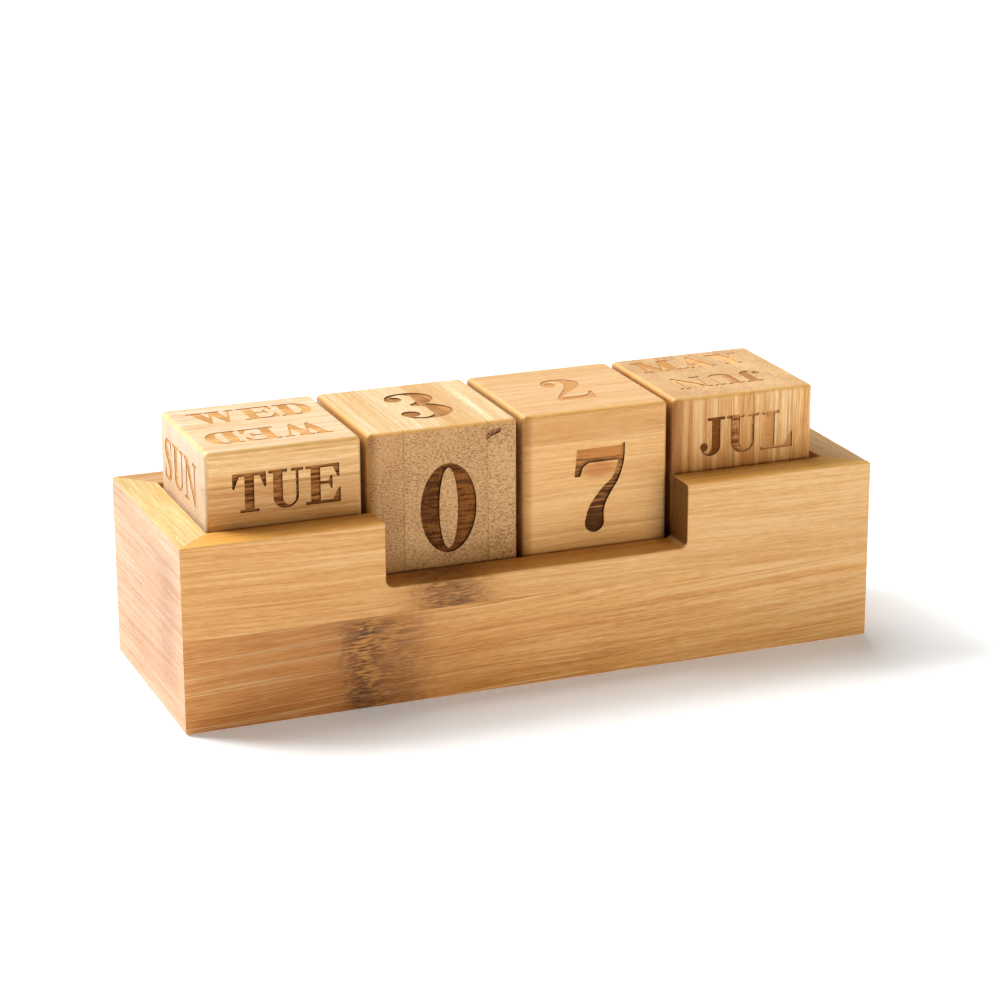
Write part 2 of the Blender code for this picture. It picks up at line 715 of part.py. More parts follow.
def side_frame(side):
    """From a side's own frame, with its middle at the origin, to the cube's frame."""
    up, outward = SIDES[side]
    turn = Matrix((up.cross(outward), up, outward)).transposed()
    return Matrix.Translation(outward * BLOCK_SIDE / 2) @ turn.to_4x4()


def lettering_shape(block):
    """The prisms that cut the lettering of all six sides of a cube."""
    shape = bmesh.new()
    for side, texts in block["lettering"].items():
        frame = side_frame(side)
        right_share, up_share, size_share = block["placing_shares"].get(side, (0, 0, 1))
        placing = Matrix.Translation((right_share * BLOCK_SIDE, up_share * BLOCK_SIDE, 0))
        if isinstance(texts, str):
            height = DIGIT_HEIGHT_SHARE * BLOCK_SIDE * size_share
            engrave_line(shape, texts, frame @ placing, height, DIGIT_SIDES, DIGIT_RIBBON_STEPS)
            continue
        for text, turn in zip(texts, (0, math.pi)):
            row = Matrix.Rotation(turn, 4, "Z") @ Matrix.Translation((0, ROW_OFFSET_SHARE * BLOCK_SIDE, 0))
            height = WORD_HEIGHT_SHARE * BLOCK_SIDE * size_share
            engrave_line(shape, text, frame @ row @ placing, height, WORD_SIDES, WORD_RIBBON_STEPS)
    return shape


def block_slice(along, start_share, end_share):
    """The part of an eased cube between two seams, or between a seam and the cube's own side."""
    shape = bmesh.new()
    bmesh.ops.create_cube(shape, size=BLOCK_SIDE)
    ease(shape, shape.edges[:], BLOCK_EDGE)
    for side, share in ((-1, start_share), (1, end_share)):
        if 0 < share < 1:
            place = (share - 0.5) * BLOCK_SIDE - side * GLUE_GAP / 2
            keep_side(shape, along * place, along * side)
    return shape


def build_block(block, centre_x):
    """One cube: its glued pieces under an empty, all cut by the same lettering."""
    centre_y = (FRONT_CLEARANCE - BACK_CLEARANCE) / 2
    centre = Vector((centre_x, centre_y, FLOOR_TOP + REST_GAP + BLOCK_SIDE / 2))
    carrier = add_empty(block["name"], centre)
    cutter_name = block["name"] + "_lettering"
    burnt = wood(cutter_name, BURNT_COLOUR, 1, BURNT_ROUGHNESS)
    cutter = add_object(cutter_name, lettering_shape(block), burnt, carrier)
    cutter.hide_render = True
    cutter.display_type = "WIRE"
    seam_shares = (0, *block["seam_shares"], 1)
    for number, (start_share, end_share) in enumerate(zip(seam_shares, seam_shares[1:]), 1):
        name = f"{block['name']}_{block['piece']}_{number}"
        tone_share = TONE_SHARES[number % len(TONE_SHARES)]
        material = wood(name, block["colour"], tone_share, WOOD_ROUGHNESS)
        piece = add_object(name, block_slice(block["along"], start_share, end_share), material, carrier)
        piece.data.materials.append(burnt)
        engraving = piece.modifiers.new("engraving", "BOOLEAN")
        engraving.operation = "DIFFERENCE"
        engraving.solver = "EXACT"
        engraving.material_mode = "TRANSFER"
        engraving.object = cutter


def build_calendar():
    clear_scene()
    build_tray()
    first_x = -POCKET_LENGTH / 2 + LEFT_CLEARANCE + BLOCK_SIDE / 2
    for place, block in enumerate(BLOCKS):
        build_block(block, first_x + place * (BLOCK_SIDE + BLOCK_SPACE))


build_calendar()
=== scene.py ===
"""Looks of a perpetual desk calendar in bamboo, on a pale floor in soft light.

Every glued piece of the frame is made again with hairline joints, finer rounding and finer lettering, in a
bamboo whose fibres run as they do in the real piece. Metres, +Z up, in the frame's own axes.
"""

import functools
import math

import bmesh
import bpy
from mathutils import Matrix, Vector
from mathutils.geometry import delaunay_2d_cdt


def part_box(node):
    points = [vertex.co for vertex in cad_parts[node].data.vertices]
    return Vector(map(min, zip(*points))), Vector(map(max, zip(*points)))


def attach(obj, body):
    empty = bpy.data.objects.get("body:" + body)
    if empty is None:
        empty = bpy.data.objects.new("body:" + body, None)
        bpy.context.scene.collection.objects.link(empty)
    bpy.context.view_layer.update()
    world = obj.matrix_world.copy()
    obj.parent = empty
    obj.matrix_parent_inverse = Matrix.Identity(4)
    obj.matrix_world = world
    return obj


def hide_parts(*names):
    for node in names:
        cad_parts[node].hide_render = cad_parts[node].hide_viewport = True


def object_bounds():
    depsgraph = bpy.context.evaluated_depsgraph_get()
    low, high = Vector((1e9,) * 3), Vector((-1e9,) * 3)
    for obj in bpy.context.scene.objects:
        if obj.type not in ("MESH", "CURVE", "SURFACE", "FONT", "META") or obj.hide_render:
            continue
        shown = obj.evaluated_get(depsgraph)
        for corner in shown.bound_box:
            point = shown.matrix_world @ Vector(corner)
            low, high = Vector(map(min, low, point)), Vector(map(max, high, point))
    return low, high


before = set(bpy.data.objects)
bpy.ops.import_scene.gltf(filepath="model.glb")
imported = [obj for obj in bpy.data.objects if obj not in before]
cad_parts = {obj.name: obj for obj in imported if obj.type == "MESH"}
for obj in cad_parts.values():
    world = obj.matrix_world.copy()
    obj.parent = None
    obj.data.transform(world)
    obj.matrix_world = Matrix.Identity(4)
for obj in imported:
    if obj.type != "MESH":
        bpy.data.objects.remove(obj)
cad_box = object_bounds()

MM = 0.001

# Camera, as in the photograph
CAMERA_TARGET = Vector((0.001713, 0, 0.039198))
CAMERA_DISTANCE = 0.78777
CAMERA_AZIMUTH = math.radians(-21.632)
CAMERA_ELEVATION = math.radians(18.016)
CAMERA_ROLL = math.radians(-0.172)
CAMERA_LENS = 109.338
CAMERA_SENSOR = 36

# Floor and lights. Each light has a direction, a strength, a spread and a colour.
FLOOR_HALF = 9.0
BACKDROP_RADIUS = 8.0
BACKDROP_HEIGHT = 8.0
BACKDROP_SIDES = 48
BACKDROP_GLOW = 1.0
FLOOR_DROP = 0.0002
FLOOR_COLOUR = (0.92, 0.92, 0.915)
FLOOR_GLOW = 0.26
PAPER_ROUGHNESS = 0.9
PAPER_SPECULAR = 0.1
SKY_COLOUR = (1.0, 0.995, 0.985)
SKY_STRENGTH = 0.06
LIGHTS = {
    "key_light": (Vector((-0.542, 0.542, 0.643)), 4.2, math.radians(30), (0.96, 0.98, 1.0)),
    "top_light": (Vector((-0.109, 0.408, 0.906)), 2.0, math.radians(36), (0.96, 0.98, 1.0)),
    "fill_light": (Vector((0.34, -0.94, 0.05)), 1.33, math.radians(28), (1.0, 0.83, 0.52)),
}

# Details that the frame holds more plainly
GLUE_LINE = 0.00004
BOARD_GLUE_LINE = 0.00009
BLOCK_EDGE = 0.0013
TRAY_EDGE = 0.0005
CUT_OVERRUN = 0.0005
WELD = 0.000002
TONGUE = 0.004
TONGUE_REACH = 0.004
WINDOW_RADIUS = 0.002
WINDOW_LIP = 0.004

# Fineness of the round stretches
EDGE_SEGMENTS = 4
TRAY_EDGE_SEGMENTS = 3
WINDOW_ARC_STEPS = 10
GLYPH_SIDES = 64
RIBBON_STEPS = 6
SHARP_ANGLE = math.radians(40)
FLAT_ANGLE = math.radians(1)
WALL_FACING = 0.5

# Lettering, in shares of the cube's side or of a character's own height
WORD_HEIGHT_SHARE = 0.25
DIGIT_HEIGHT_SHARE = 0.585
ROW_OFFSET_SHARE = 0.222
LETTER_SPACE_SHARE = 0.06
SERIF_SHARE = 0.075
SERIF_REACH_SHARE = 0.12
MERGE_SHARE = 0.001

# Layers of the grain: across the fibres and along them, in millimetres, and how finely each breaks up
GRAIN_LAYERS = {
    "broad": (9.0, 90.0, 1.0),
    "band": (2.4, 60.0, 2.0),
    "streak": (0.62, 26.0, 2.0),
    "fibre": (0.30, 3.0, 2.0),
    "line": (0.55, 150.0, 1.0),
    "vein": (0.36, 60.0, 1.0),
    "dash": (0.34, 2.8, 2.0),
    "patch": (3.5, 5.0, 1.0),
}
GRAIN_WEIGHTS = {"broad": 0.20, "band": 0.32, "streak": 0.52, "fibre": 0.40}
BURN_WEIGHTS = {"band": 0.4, "streak": 0.6, "fibre": 0.5, "pass": 0.9}
BUMP_WEIGHTS = {"streak": 0.5, "fibre": 0.8}

# Pores of the end grain, and the passes of the laser: their size along x, y and z in millimetres
PORE_SIZES = ((4.0, 0.36, 0.60), (0.70, 4.0, 0.40), (0.34, 0.60, 4.0))
PASS_SIZE = (8.0, 8.0, 0.60)

# How far the fibres wander, in millimetres, over how far across and along
WARP_ACROSS = 14.0
WARP_ALONG = 60.0
WARP_REACH = 2.0

# Linear colours. A ramp's stops each have a place and a colour. A wash multiplies the colour under it.
SIDE_COLOURS = (
    (0.24, (0.560, 0.225, 0.050)),
    (0.38, (0.665, 0.315, 0.095)),
    (0.50, (0.745, 0.392, 0.136)),
    (0.64, (0.835, 0.495, 0.205)),
    (0.78, (0.905, 0.620, 0.320)),
)
PALE_COLOUR = (0.930, 0.680, 0.370)
END_COLOURS = (
    (0.34, (0.370, 0.180, 0.070)),
    (0.44, (0.540, 0.300, 0.128)),
    (0.64, (0.700, 0.430, 0.200)),
)
JOINT_COLOURS = (
    (0.38, (0.088, 0.033, 0.007)),
    (0.50, (0.215, 0.087, 0.020)),
    (0.62, (0.560, 0.265, 0.076)),
)
CHIP_COLOURS = (
    (0.40, (0.190, 0.100, 0.048)),
    (0.68, (0.570, 0.300, 0.144)),
)
VEIN_COLOUR = (0.400, 0.170, 0.052)
STAIN_COLOUR = (0.74, 0.60, 0.46)
# Painted highlight: the warm, bright band where the light catches the eased top edges
EDGE_HIGHLIGHT_COLOUR = (1.000, 0.560, 0.170)
BAND_COLOUR = (0.90, 0.74, 0.52)
SCORCH_COLOUR = (0.74, 0.52, 0.32)
PLAIN_WASH = (1.0, 1.0, 1.0)
SHADED_WASH = (0.64, 0.55, 0.41)
# Painted shade on the back wall, which stands in the key light
BACK_PAINTED_SHADE = (0.70, 0.67, 0.70)
# Painted light on the left wall, which faces the key light: less red and green, more blue, for the pale
# look of a brightly lit face
LEFT_PAINTED_LIGHT = (0.80, 0.83, 1.17)
TONE_POWERS = (0.7, 1.1, 1.6)

# From where to where a layer of the grain turns into pale lines, dark lines, pale burnt wood and the
# patches of a joint, which also have a least and a greatest share
PALE_LINES = (0.61, 0.70)
DARK_LINES = (0.40, 0.33)
BURN_STOPS = (0.32, 0.70)
JOINT_PATCHES = (0.32, 0.56, 0.6, 1.0)

# Soft rims of bands, scorches, joints and stains, as shares of their size, and the fade at their heights
BAND_RIM_SHARES = (0.8, 1.2)
SCORCH_RIM_SHARES = (0.3, 1.0)
JOINT_INNER_SHARE = 0.15
STAIN_INNER_SHARE = 0.2
PATCH_OUTER_SHARE = 1.1
PATCH_FADE = 3

# Unevenness: how ragged a joint is and in what size, how a stain follows the bands of the grain, how
# blotchy the specks are, and how far the painted highlight on the eased edges reaches, with the size of its
# noise
JOINT_RAGGED = 7.0
RAGGED_SIZE = 1.3
RAGGED_SEED = 17
STAIN_UNEVEN = (1.6, 0.2)
BLOTCH_WEIGHT = 0.5
HIGHLIGHT_REACH = 1.3
HIGHLIGHT_NOISE_SCALE = 0.9
HIGHLIGHT_RAGGED = 0.7
CHIP_SCALE = 1.6

# Parts of the normal between which an effect sets in: on the edges with their painted highlight, on the top
# with its painted light and shade, where the fibres are cut across, in a neighbour's painted shade on the
# right and on the left, and beside the front
HIGHLIGHT_FACING = (-0.05, 0.15)
TOP_LIGHT_FACING = (0.8, 0.98)
END_FACING = (0.55, 0.9)
SHADE_FACING = {1: (0.85, 0.98), -1: (0.20, 0.98)}
FRONT_FACING = (-0.8, -0.3)

# How far a neighbour's shade reaches round onto the front, in millimetres
SHADE_REACH = 3.4

# Weights of the end grain's broad tones and of its relief, and of the streaks in the roughness
END_BROAD_WEIGHT = 0.25
END_RELIEF_WEIGHT = 1.6
ROUGHNESS_WEIGHT = -0.35
END_ROUGHER = 0.14

# Lacquered wood, burnt wood and their relief
WOOD_ROUGHNESS = 0.48
WOOD_SPECULAR = 0.25
COAT_WEIGHT = 0.15
COAT_ROUGHNESS = 0.25
BURNT_ROUGHNESS = 0.85
BURNT_SPECULAR = 0.08
BUMP_STRENGTH = 0.4
BUMP_DEPTH = 0.00005
BURNT_BUMP_DEPTH = 0.0001
CHIP_BUMP_DEPTH = 0.00015

# Steps between the seeds of neighbouring pieces
PIECE_SEED = 3.7
WALL_SEED = 11.3
UPPER_SEED = 4.7

# The strokes of each character, in shares of its height. A bar has two corners. A post is an upright bar
# from x to x and from y to y, with serifs at its foot, its head or both. An area is a list of corners. A
# band lies between two ellipses, each given by its centre and radii, from one angle to another in degrees.
# A ring is a full band with one centre for both ellipses. A ribbon is a smooth line through points with a
# width each. A dot is a disc.
GLYPH_SHARES = {
    "A": (
        ("area", (0.12, 0), (0.2, 0), (0.49, 0.9), (0.46, 1)),
        ("area", (0.58, 0), (0.87, 0), (0.54, 1), (0.46, 1), (0.353, 0.687)),
        ("bar", 0.21, 0.27, 0.62, 0.335),
        ("bar", 0, 0, 0.32, 0.075),
        ("bar", 0.46, 0, 0.98, 0.075),
    ),
    "B": (
        ("bar", 0.1, 0, 0.37, 1),
        ("bar", 0, 0, 0.42, 0.075),
        ("bar", 0, 0.925, 0.42, 1),
        ("bar", 0.3, 0.465, 0.42, 0.555),
        ("band", (0.42, 0.74), (0.32, 0.26), (0.42, 0.74), (0.09, 0.185), -90, 90),
        ("band", (0.42, 0.27), (0.38, 0.27), (0.42, 0.27), (0.12, 0.195), -90, 90),
    ),
    "C": (
        ("band", (0.44, 0.5), (0.44, 0.5), (0.47, 0.5), (0.2, 0.43), 48, 290),
        ("area", (0.82, 1), (0.77, 1), (0.7, 0.91), (0.6, 0.82), (0.72, 0.76), (0.78, 0.62), (0.82, 0.62)),
        ("ribbon", (0.55, 0.06, 0.075), (0.66, 0.09, 0.065), (0.76, 0.17, 0.05), (0.815, 0.31, 0.045)),
    ),
    "D": (
        ("bar", 0.1, 0, 0.37, 1),
        ("bar", 0, 0, 0.45, 0.075),
        ("bar", 0, 0.925, 0.45, 1),
        ("band", (0.45, 0.5), (0.43, 0.5), (0.45, 0.5), (0.155, 0.425), -90, 90),
    ),
    "E": (
        ("bar", 0.13, 0, 0.38, 1),
        ("bar", 0, 0, 0.88, 0.075),
        ("bar", 0, 0.925, 0.87, 1),
        ("bar", 0.3, 0.5, 0.66, 0.57),
        ("area", (0.87, 1), (0.69, 0.95), (0.82, 0.66), (0.87, 0.66)),
        ("area", (0.9, 0), (0.68, 0.04), (0.85, 0.37), (0.9, 0.37)),
        ("area", (0.69, 0.37), (0.69, 0.7), (0.65, 0.7), (0.57, 0.535), (0.65, 0.37)),
    ),
    "F": (
        ("bar", 0.12, 0, 0.39, 1),
        ("bar", 0, 0, 0.51, 0.075),
        ("bar", 0, 0.925, 0.82, 1),
        ("bar", 0.3, 0.47, 0.6, 0.54),
        ("area", (0.82, 1), (0.64, 0.95), (0.77, 0.64), (0.82, 0.64)),
        ("area", (0.63, 0.36), (0.63, 0.65), (0.59, 0.65), (0.52, 0.505), (0.59, 0.36)),
    ),
    "G": (
        ("band", (0.44, 0.5), (0.44, 0.5), (0.47, 0.5), (0.2, 0.43), 48, 310),
        ("area", (0.82, 1), (0.77, 1), (0.7, 0.91), (0.6, 0.82), (0.72, 0.76), (0.78, 0.62), (0.82, 0.62)),
        ("bar", 0.58, 0.06, 0.84, 0.4),
        ("bar", 0.49, 0.36, 0.93, 0.435),
    ),
    "H": (
        ("post", 0.12, 0.37, 0, 1, "foot head"),
        ("post", 0.68, 0.93, 0, 1, "foot head"),
        ("bar", 0.3, 0.47, 0.75, 0.54),
    ),
    "I": (
        ("post", 0.1, 0.37, 0, 1, "foot head"),
    ),
    "J": (
        ("post", 0.33, 0.57, 0.24, 1, "head"),
        ("band", (0.3, 0.24), (0.27, 0.24), (0.205, 0.24), (0.125, 0.185), 190, 360),
        ("dot", (0.115, 0.25), 0.105),
    ),
    "L": (
        ("post", 0.16, 0.4, 0, 1, "head"),
        ("bar", 0, 0, 0.88, 0.075),
        ("area", (0.9, 0), (0.64, 0.04), (0.85, 0.4), (0.9, 0.4)),
    ),
    "M": (
        ("post", 0.13, 0.2, 0, 0.96, "foot"),
        ("post", 0.78, 1.05, 0, 1, "foot"),
        ("bar", 0.02, 0.925, 0.3, 1),
        ("bar", 0.8, 0.925, 1.15, 1),
        ("area", (0.06, 1), (0.34, 1), (0.64, 0.16), (0.6, 0), (0.51, 0)),
        ("area", (0.8, 1), (0.88, 1), (0.6, 0), (0.54, 0)),
    ),
    "N": (
        ("post", 0.13, 0.2, 0, 0.96, "foot"),
        ("post", 0.79, 0.86, 0.05, 1, "head"),
        ("bar", 0.02, 0.925, 0.3, 1),
        ("area", (0.04, 1), (0.33, 1), (0.86, 0.12), (0.86, 0), (0.77, 0)),
    ),
    "O": (
        ("ring", (0.44, 0.5), (0.44, 0.5), (0.165, 0.43)),
    ),
    "P": (
        ("post", 0.1, 0.37, 0, 1, "foot"),
        ("bar", 0, 0.925, 0.42, 1),
        ("bar", 0.3, 0.42, 0.42, 0.495),
        ("band", (0.42, 0.71), (0.36, 0.29), (0.42, 0.71), (0.11, 0.215), -90, 90),
    ),
    "R": (
        ("post", 0.1, 0.37, 0, 1, "foot"),
        ("bar", 0, 0.925, 0.42, 1),
        ("bar", 0.3, 0.44, 0.42, 0.515),
        ("band", (0.42, 0.72), (0.34, 0.28), (0.42, 0.72), (0.1, 0.205), -90, 90),
        (
            "ribbon", (0.42, 0.475, 0.07), (0.55, 0.41, 0.17), (0.62, 0.22, 0.24), (0.69, 0.07, 0.16),
            (0.8, 0.035, 0.07), (0.87, 0.09, 0.05),
        ),
    ),
    "S": (
        (
            "ribbon", (0.54, 0.84, 0.06), (0.46, 0.935, 0.07), (0.31, 0.965, 0.07), (0.17, 0.89, 0.15),
            (0.16, 0.73, 0.22), (0.31, 0.57, 0.28), (0.45, 0.42, 0.28), (0.51, 0.26, 0.22),
            (0.44, 0.1, 0.15), (0.29, 0.035, 0.07), (0.15, 0.07, 0.07), (0.07, 0.19, 0.06),
        ),
        ("area", (0.57, 1), (0.49, 0.9), (0.53, 0.66), (0.57, 0.66)),
        ("area", (0.04, 0), (0.12, 0.1), (0.08, 0.36), (0.04, 0.36)),
    ),
    "T": (
        ("post", 0.31, 0.55, 0, 1, "foot"),
        ("bar", 0, 0.925, 0.86, 1),
        ("area", (0, 1), (0.18, 0.95), (0.05, 0.62), (0, 0.62)),
        ("area", (0.86, 1), (0.68, 0.95), (0.81, 0.62), (0.86, 0.62)),
    ),
    "U": (
        ("post", 0.12, 0.36, 0.29, 1, "head"),
        ("post", 0.7, 0.77, 0.29, 1, "head"),
        ("band", (0.445, 0.29), (0.325, 0.29), (0.53, 0.29), (0.17, 0.215), 180, 360),
    ),
    "V": (
        ("bar", 0, 0.925, 0.49, 1),
        ("bar", 0.64, 0.925, 0.92, 1),
        ("area", (0.1, 1), (0.39, 1), (0.6, 0.25), (0.52, 0), (0.45, 0)),
        ("area", (0.74, 1), (0.81, 1), (0.53, 0), (0.47, 0)),
    ),
    "W": (
        ("bar", 0, 0.925, 0.45, 1),
        ("bar", 0.48, 0.925, 0.88, 1),
        ("bar", 1.0, 0.925, 1.25, 1),
        ("area", (0.09, 1), (0.36, 1), (0.52, 0.25), (0.46, 0), (0.39, 0)),
        ("area", (0.6, 1), (0.66, 1), (0.47, 0), (0.41, 0)),
        ("area", (0.52, 1), (0.79, 1), (0.95, 0.25), (0.89, 0), (0.82, 0)),
        ("area", (1.08, 1), (1.15, 1), (0.9, 0), (0.84, 0)),
    ),
    "Y": (
        ("post", 0.34, 0.61, 0, 0.48, "foot"),
        ("bar", 0, 0.925, 0.47, 1),
        ("bar", 0.65, 0.925, 0.92, 1),
        ("area", (0.08, 1), (0.38, 1), (0.61, 0.5), (0.61, 0.42), (0.34, 0.42)),
        ("area", (0.75, 1), (0.82, 1), (0.61, 0.45), (0.54, 0.48)),
    ),
    "0": (
        ("ring", (0.32, 0.5), (0.32, 0.5), (0.105, 0.45)),
    ),
    "1": (
        ("bar", 0.12, 0, 0.36, 1),
        ("bar", 0, 0, 0.48, 0.055),
        ("area", (0.3, 1), (0.2, 1), (0, 0.87), (0, 0.82), (0.14, 0.86)),
    ),
    "2": (
        ("dot", (0.145, 0.765), 0.1),
        (
            "ribbon", (0.065, 0.8, 0.05), (0.14, 0.925, 0.06), (0.28, 0.965, 0.07), (0.42, 0.9, 0.16),
            (0.47, 0.75, 0.23), (0.38, 0.55, 0.16), (0.22, 0.36, 0.08), (0.09, 0.18, 0.06),
            (0.04, 0.06, 0.06),
        ),
        ("area", (0.01, 0), (0.55, 0), (0.6, 0.3), (0.555, 0.3), (0.49, 0.17), (0.4, 0.13), (0.05, 0.13)),
    ),
    "3": (
        ("dot", (0.125, 0.79), 0.095),
        ("dot", (0.125, 0.205), 0.105),
        (
            "ribbon", (0.055, 0.8, 0.05), (0.12, 0.925, 0.05), (0.27, 0.975, 0.05), (0.41, 0.9, 0.16),
            (0.455, 0.76, 0.23), (0.39, 0.6, 0.14), (0.24, 0.53, 0.05),
        ),
        (
            "ribbon", (0.24, 0.53, 0.05), (0.41, 0.47, 0.13), (0.49, 0.27, 0.25), (0.42, 0.09, 0.15),
            (0.26, 0.025, 0.05), (0.11, 0.07, 0.05), (0.05, 0.19, 0.05),
        ),
    ),
    "4": (
        ("bar", 0.34, 0, 0.57, 1),
        ("bar", 0.22, 0, 0.68, 0.055),
        ("bar", 0, 0.21, 0.67, 0.27),
        ("area", (0.42, 1), (0.36, 1), (0, 0.27), (0, 0.23), (0.05, 0.23)),
    ),
    "5": (
        ("dot", (0.13, 0.195), 0.105),
        ("bar", 0.075, 0.5, 0.125, 0.97),
        ("area", (0.075, 1), (0.075, 0.86), (0.3, 0.83), (0.49, 0.85), (0.53, 1), (0.3, 0.965)),
        (
            "ribbon", (0.09, 0.52, 0.05), (0.18, 0.595, 0.05), (0.32, 0.61, 0.09), (0.44, 0.51, 0.19),
            (0.48, 0.32, 0.25), (0.42, 0.12, 0.17), (0.27, 0.025, 0.05), (0.12, 0.065, 0.05),
            (0.05, 0.18, 0.05),
        ),
    ),
    "6": (
        ("dot", (0.475, 0.83), 0.085),
        ("ring", (0.33, 0.3), (0.3, 0.3), (0.09, 0.25)),
        (
            "ribbon", (0.14, 0.28, 0.2), (0.13, 0.5, 0.22), (0.19, 0.74, 0.15), (0.33, 0.93, 0.06),
            (0.46, 0.955, 0.05), (0.53, 0.87, 0.05),
        ),
    ),
    "7": (
        ("dot", (0.245, 0.117), 0.117),
        (
            "area", (0.03, 0.985), (0, 0.67), (0.07, 0.67), (0.1, 0.77), (0.17, 0.82), (0.53, 0.82),
            (0.6, 0.985),
        ),
        ("area", (0.57, 0.97), (0.575, 1.01), (0.61, 1.01), (0.61, 0.88), (0.58, 0.8)),
        (
            "ribbon", (0.575, 0.96, 0.06), (0.563, 0.8, 0.075), (0.5, 0.61, 0.08), (0.4, 0.49, 0.12),
            (0.325, 0.385, 0.15), (0.27, 0.275, 0.19), (0.25, 0.17, 0.22), (0.245, 0.115, 0.225),
        ),
    ),
    "8": (
        ("ring", (0.31, 0.755), (0.25, 0.245), (0.095, 0.195)),
        ("ring", (0.31, 0.27), (0.3, 0.27), (0.105, 0.215)),
    ),
}

# Up and outward directions of each side of a cube, as its lettering reads
SIDES = {
    "front": (Vector((0, 0, 1)), Vector((0, -1, 0))),
    "back": (Vector((0, 0, 1)), Vector((0, 1, 0))),
    "left": (Vector((0, 0, 1)), Vector((-1, 0, 0))),
    "right": (Vector((0, 0, 1)), Vector((1, 0, 0))),
    "top": (Vector((0, 1, 0)), Vector((0, 0, 1))),
    "bottom": (Vector((0, -1, 0)), Vector((0, 0, -1))),
}

# How hard the laser burnt the lettering: the colours of the darkest and the lightest fibres and of the
# walls, and the depth
BURNS = {
    "deep": ((0.086, 0.030, 0.009), (0.305, 0.110, 0.029), (0.060, 0.022, 0.007), 0.0007),
    "brown": ((0.124, 0.043, 0.011), (0.530, 0.220, 0.070), (0.075, 0.028, 0.008), 0.0006),
    "graded": ((0.105, 0.042, 0.014), (0.650, 0.275, 0.087), (0.080, 0.030, 0.009), 0.0007),
    "mild": ((0.225, 0.072, 0.017), (0.690, 0.345, 0.128), (0.130, 0.048, 0.015), 0.0004),
    "light": ((0.290, 0.120, 0.036), (0.530, 0.250, 0.090), (0.340, 0.140, 0.042), 0.0003),
    "rough": ((0.400, 0.180, 0.060), (0.760, 0.445, 0.185), (0.420, 0.180, 0.060), 0.0002),
    "soft": ((0.405, 0.170, 0.047), (0.575, 0.282, 0.100), (0.450, 0.200, 0.060), 0.00015),
    "faint": ((0.520, 0.245, 0.075), (0.745, 0.420, 0.160), (0.620, 0.310, 0.108), 0.00015),
}
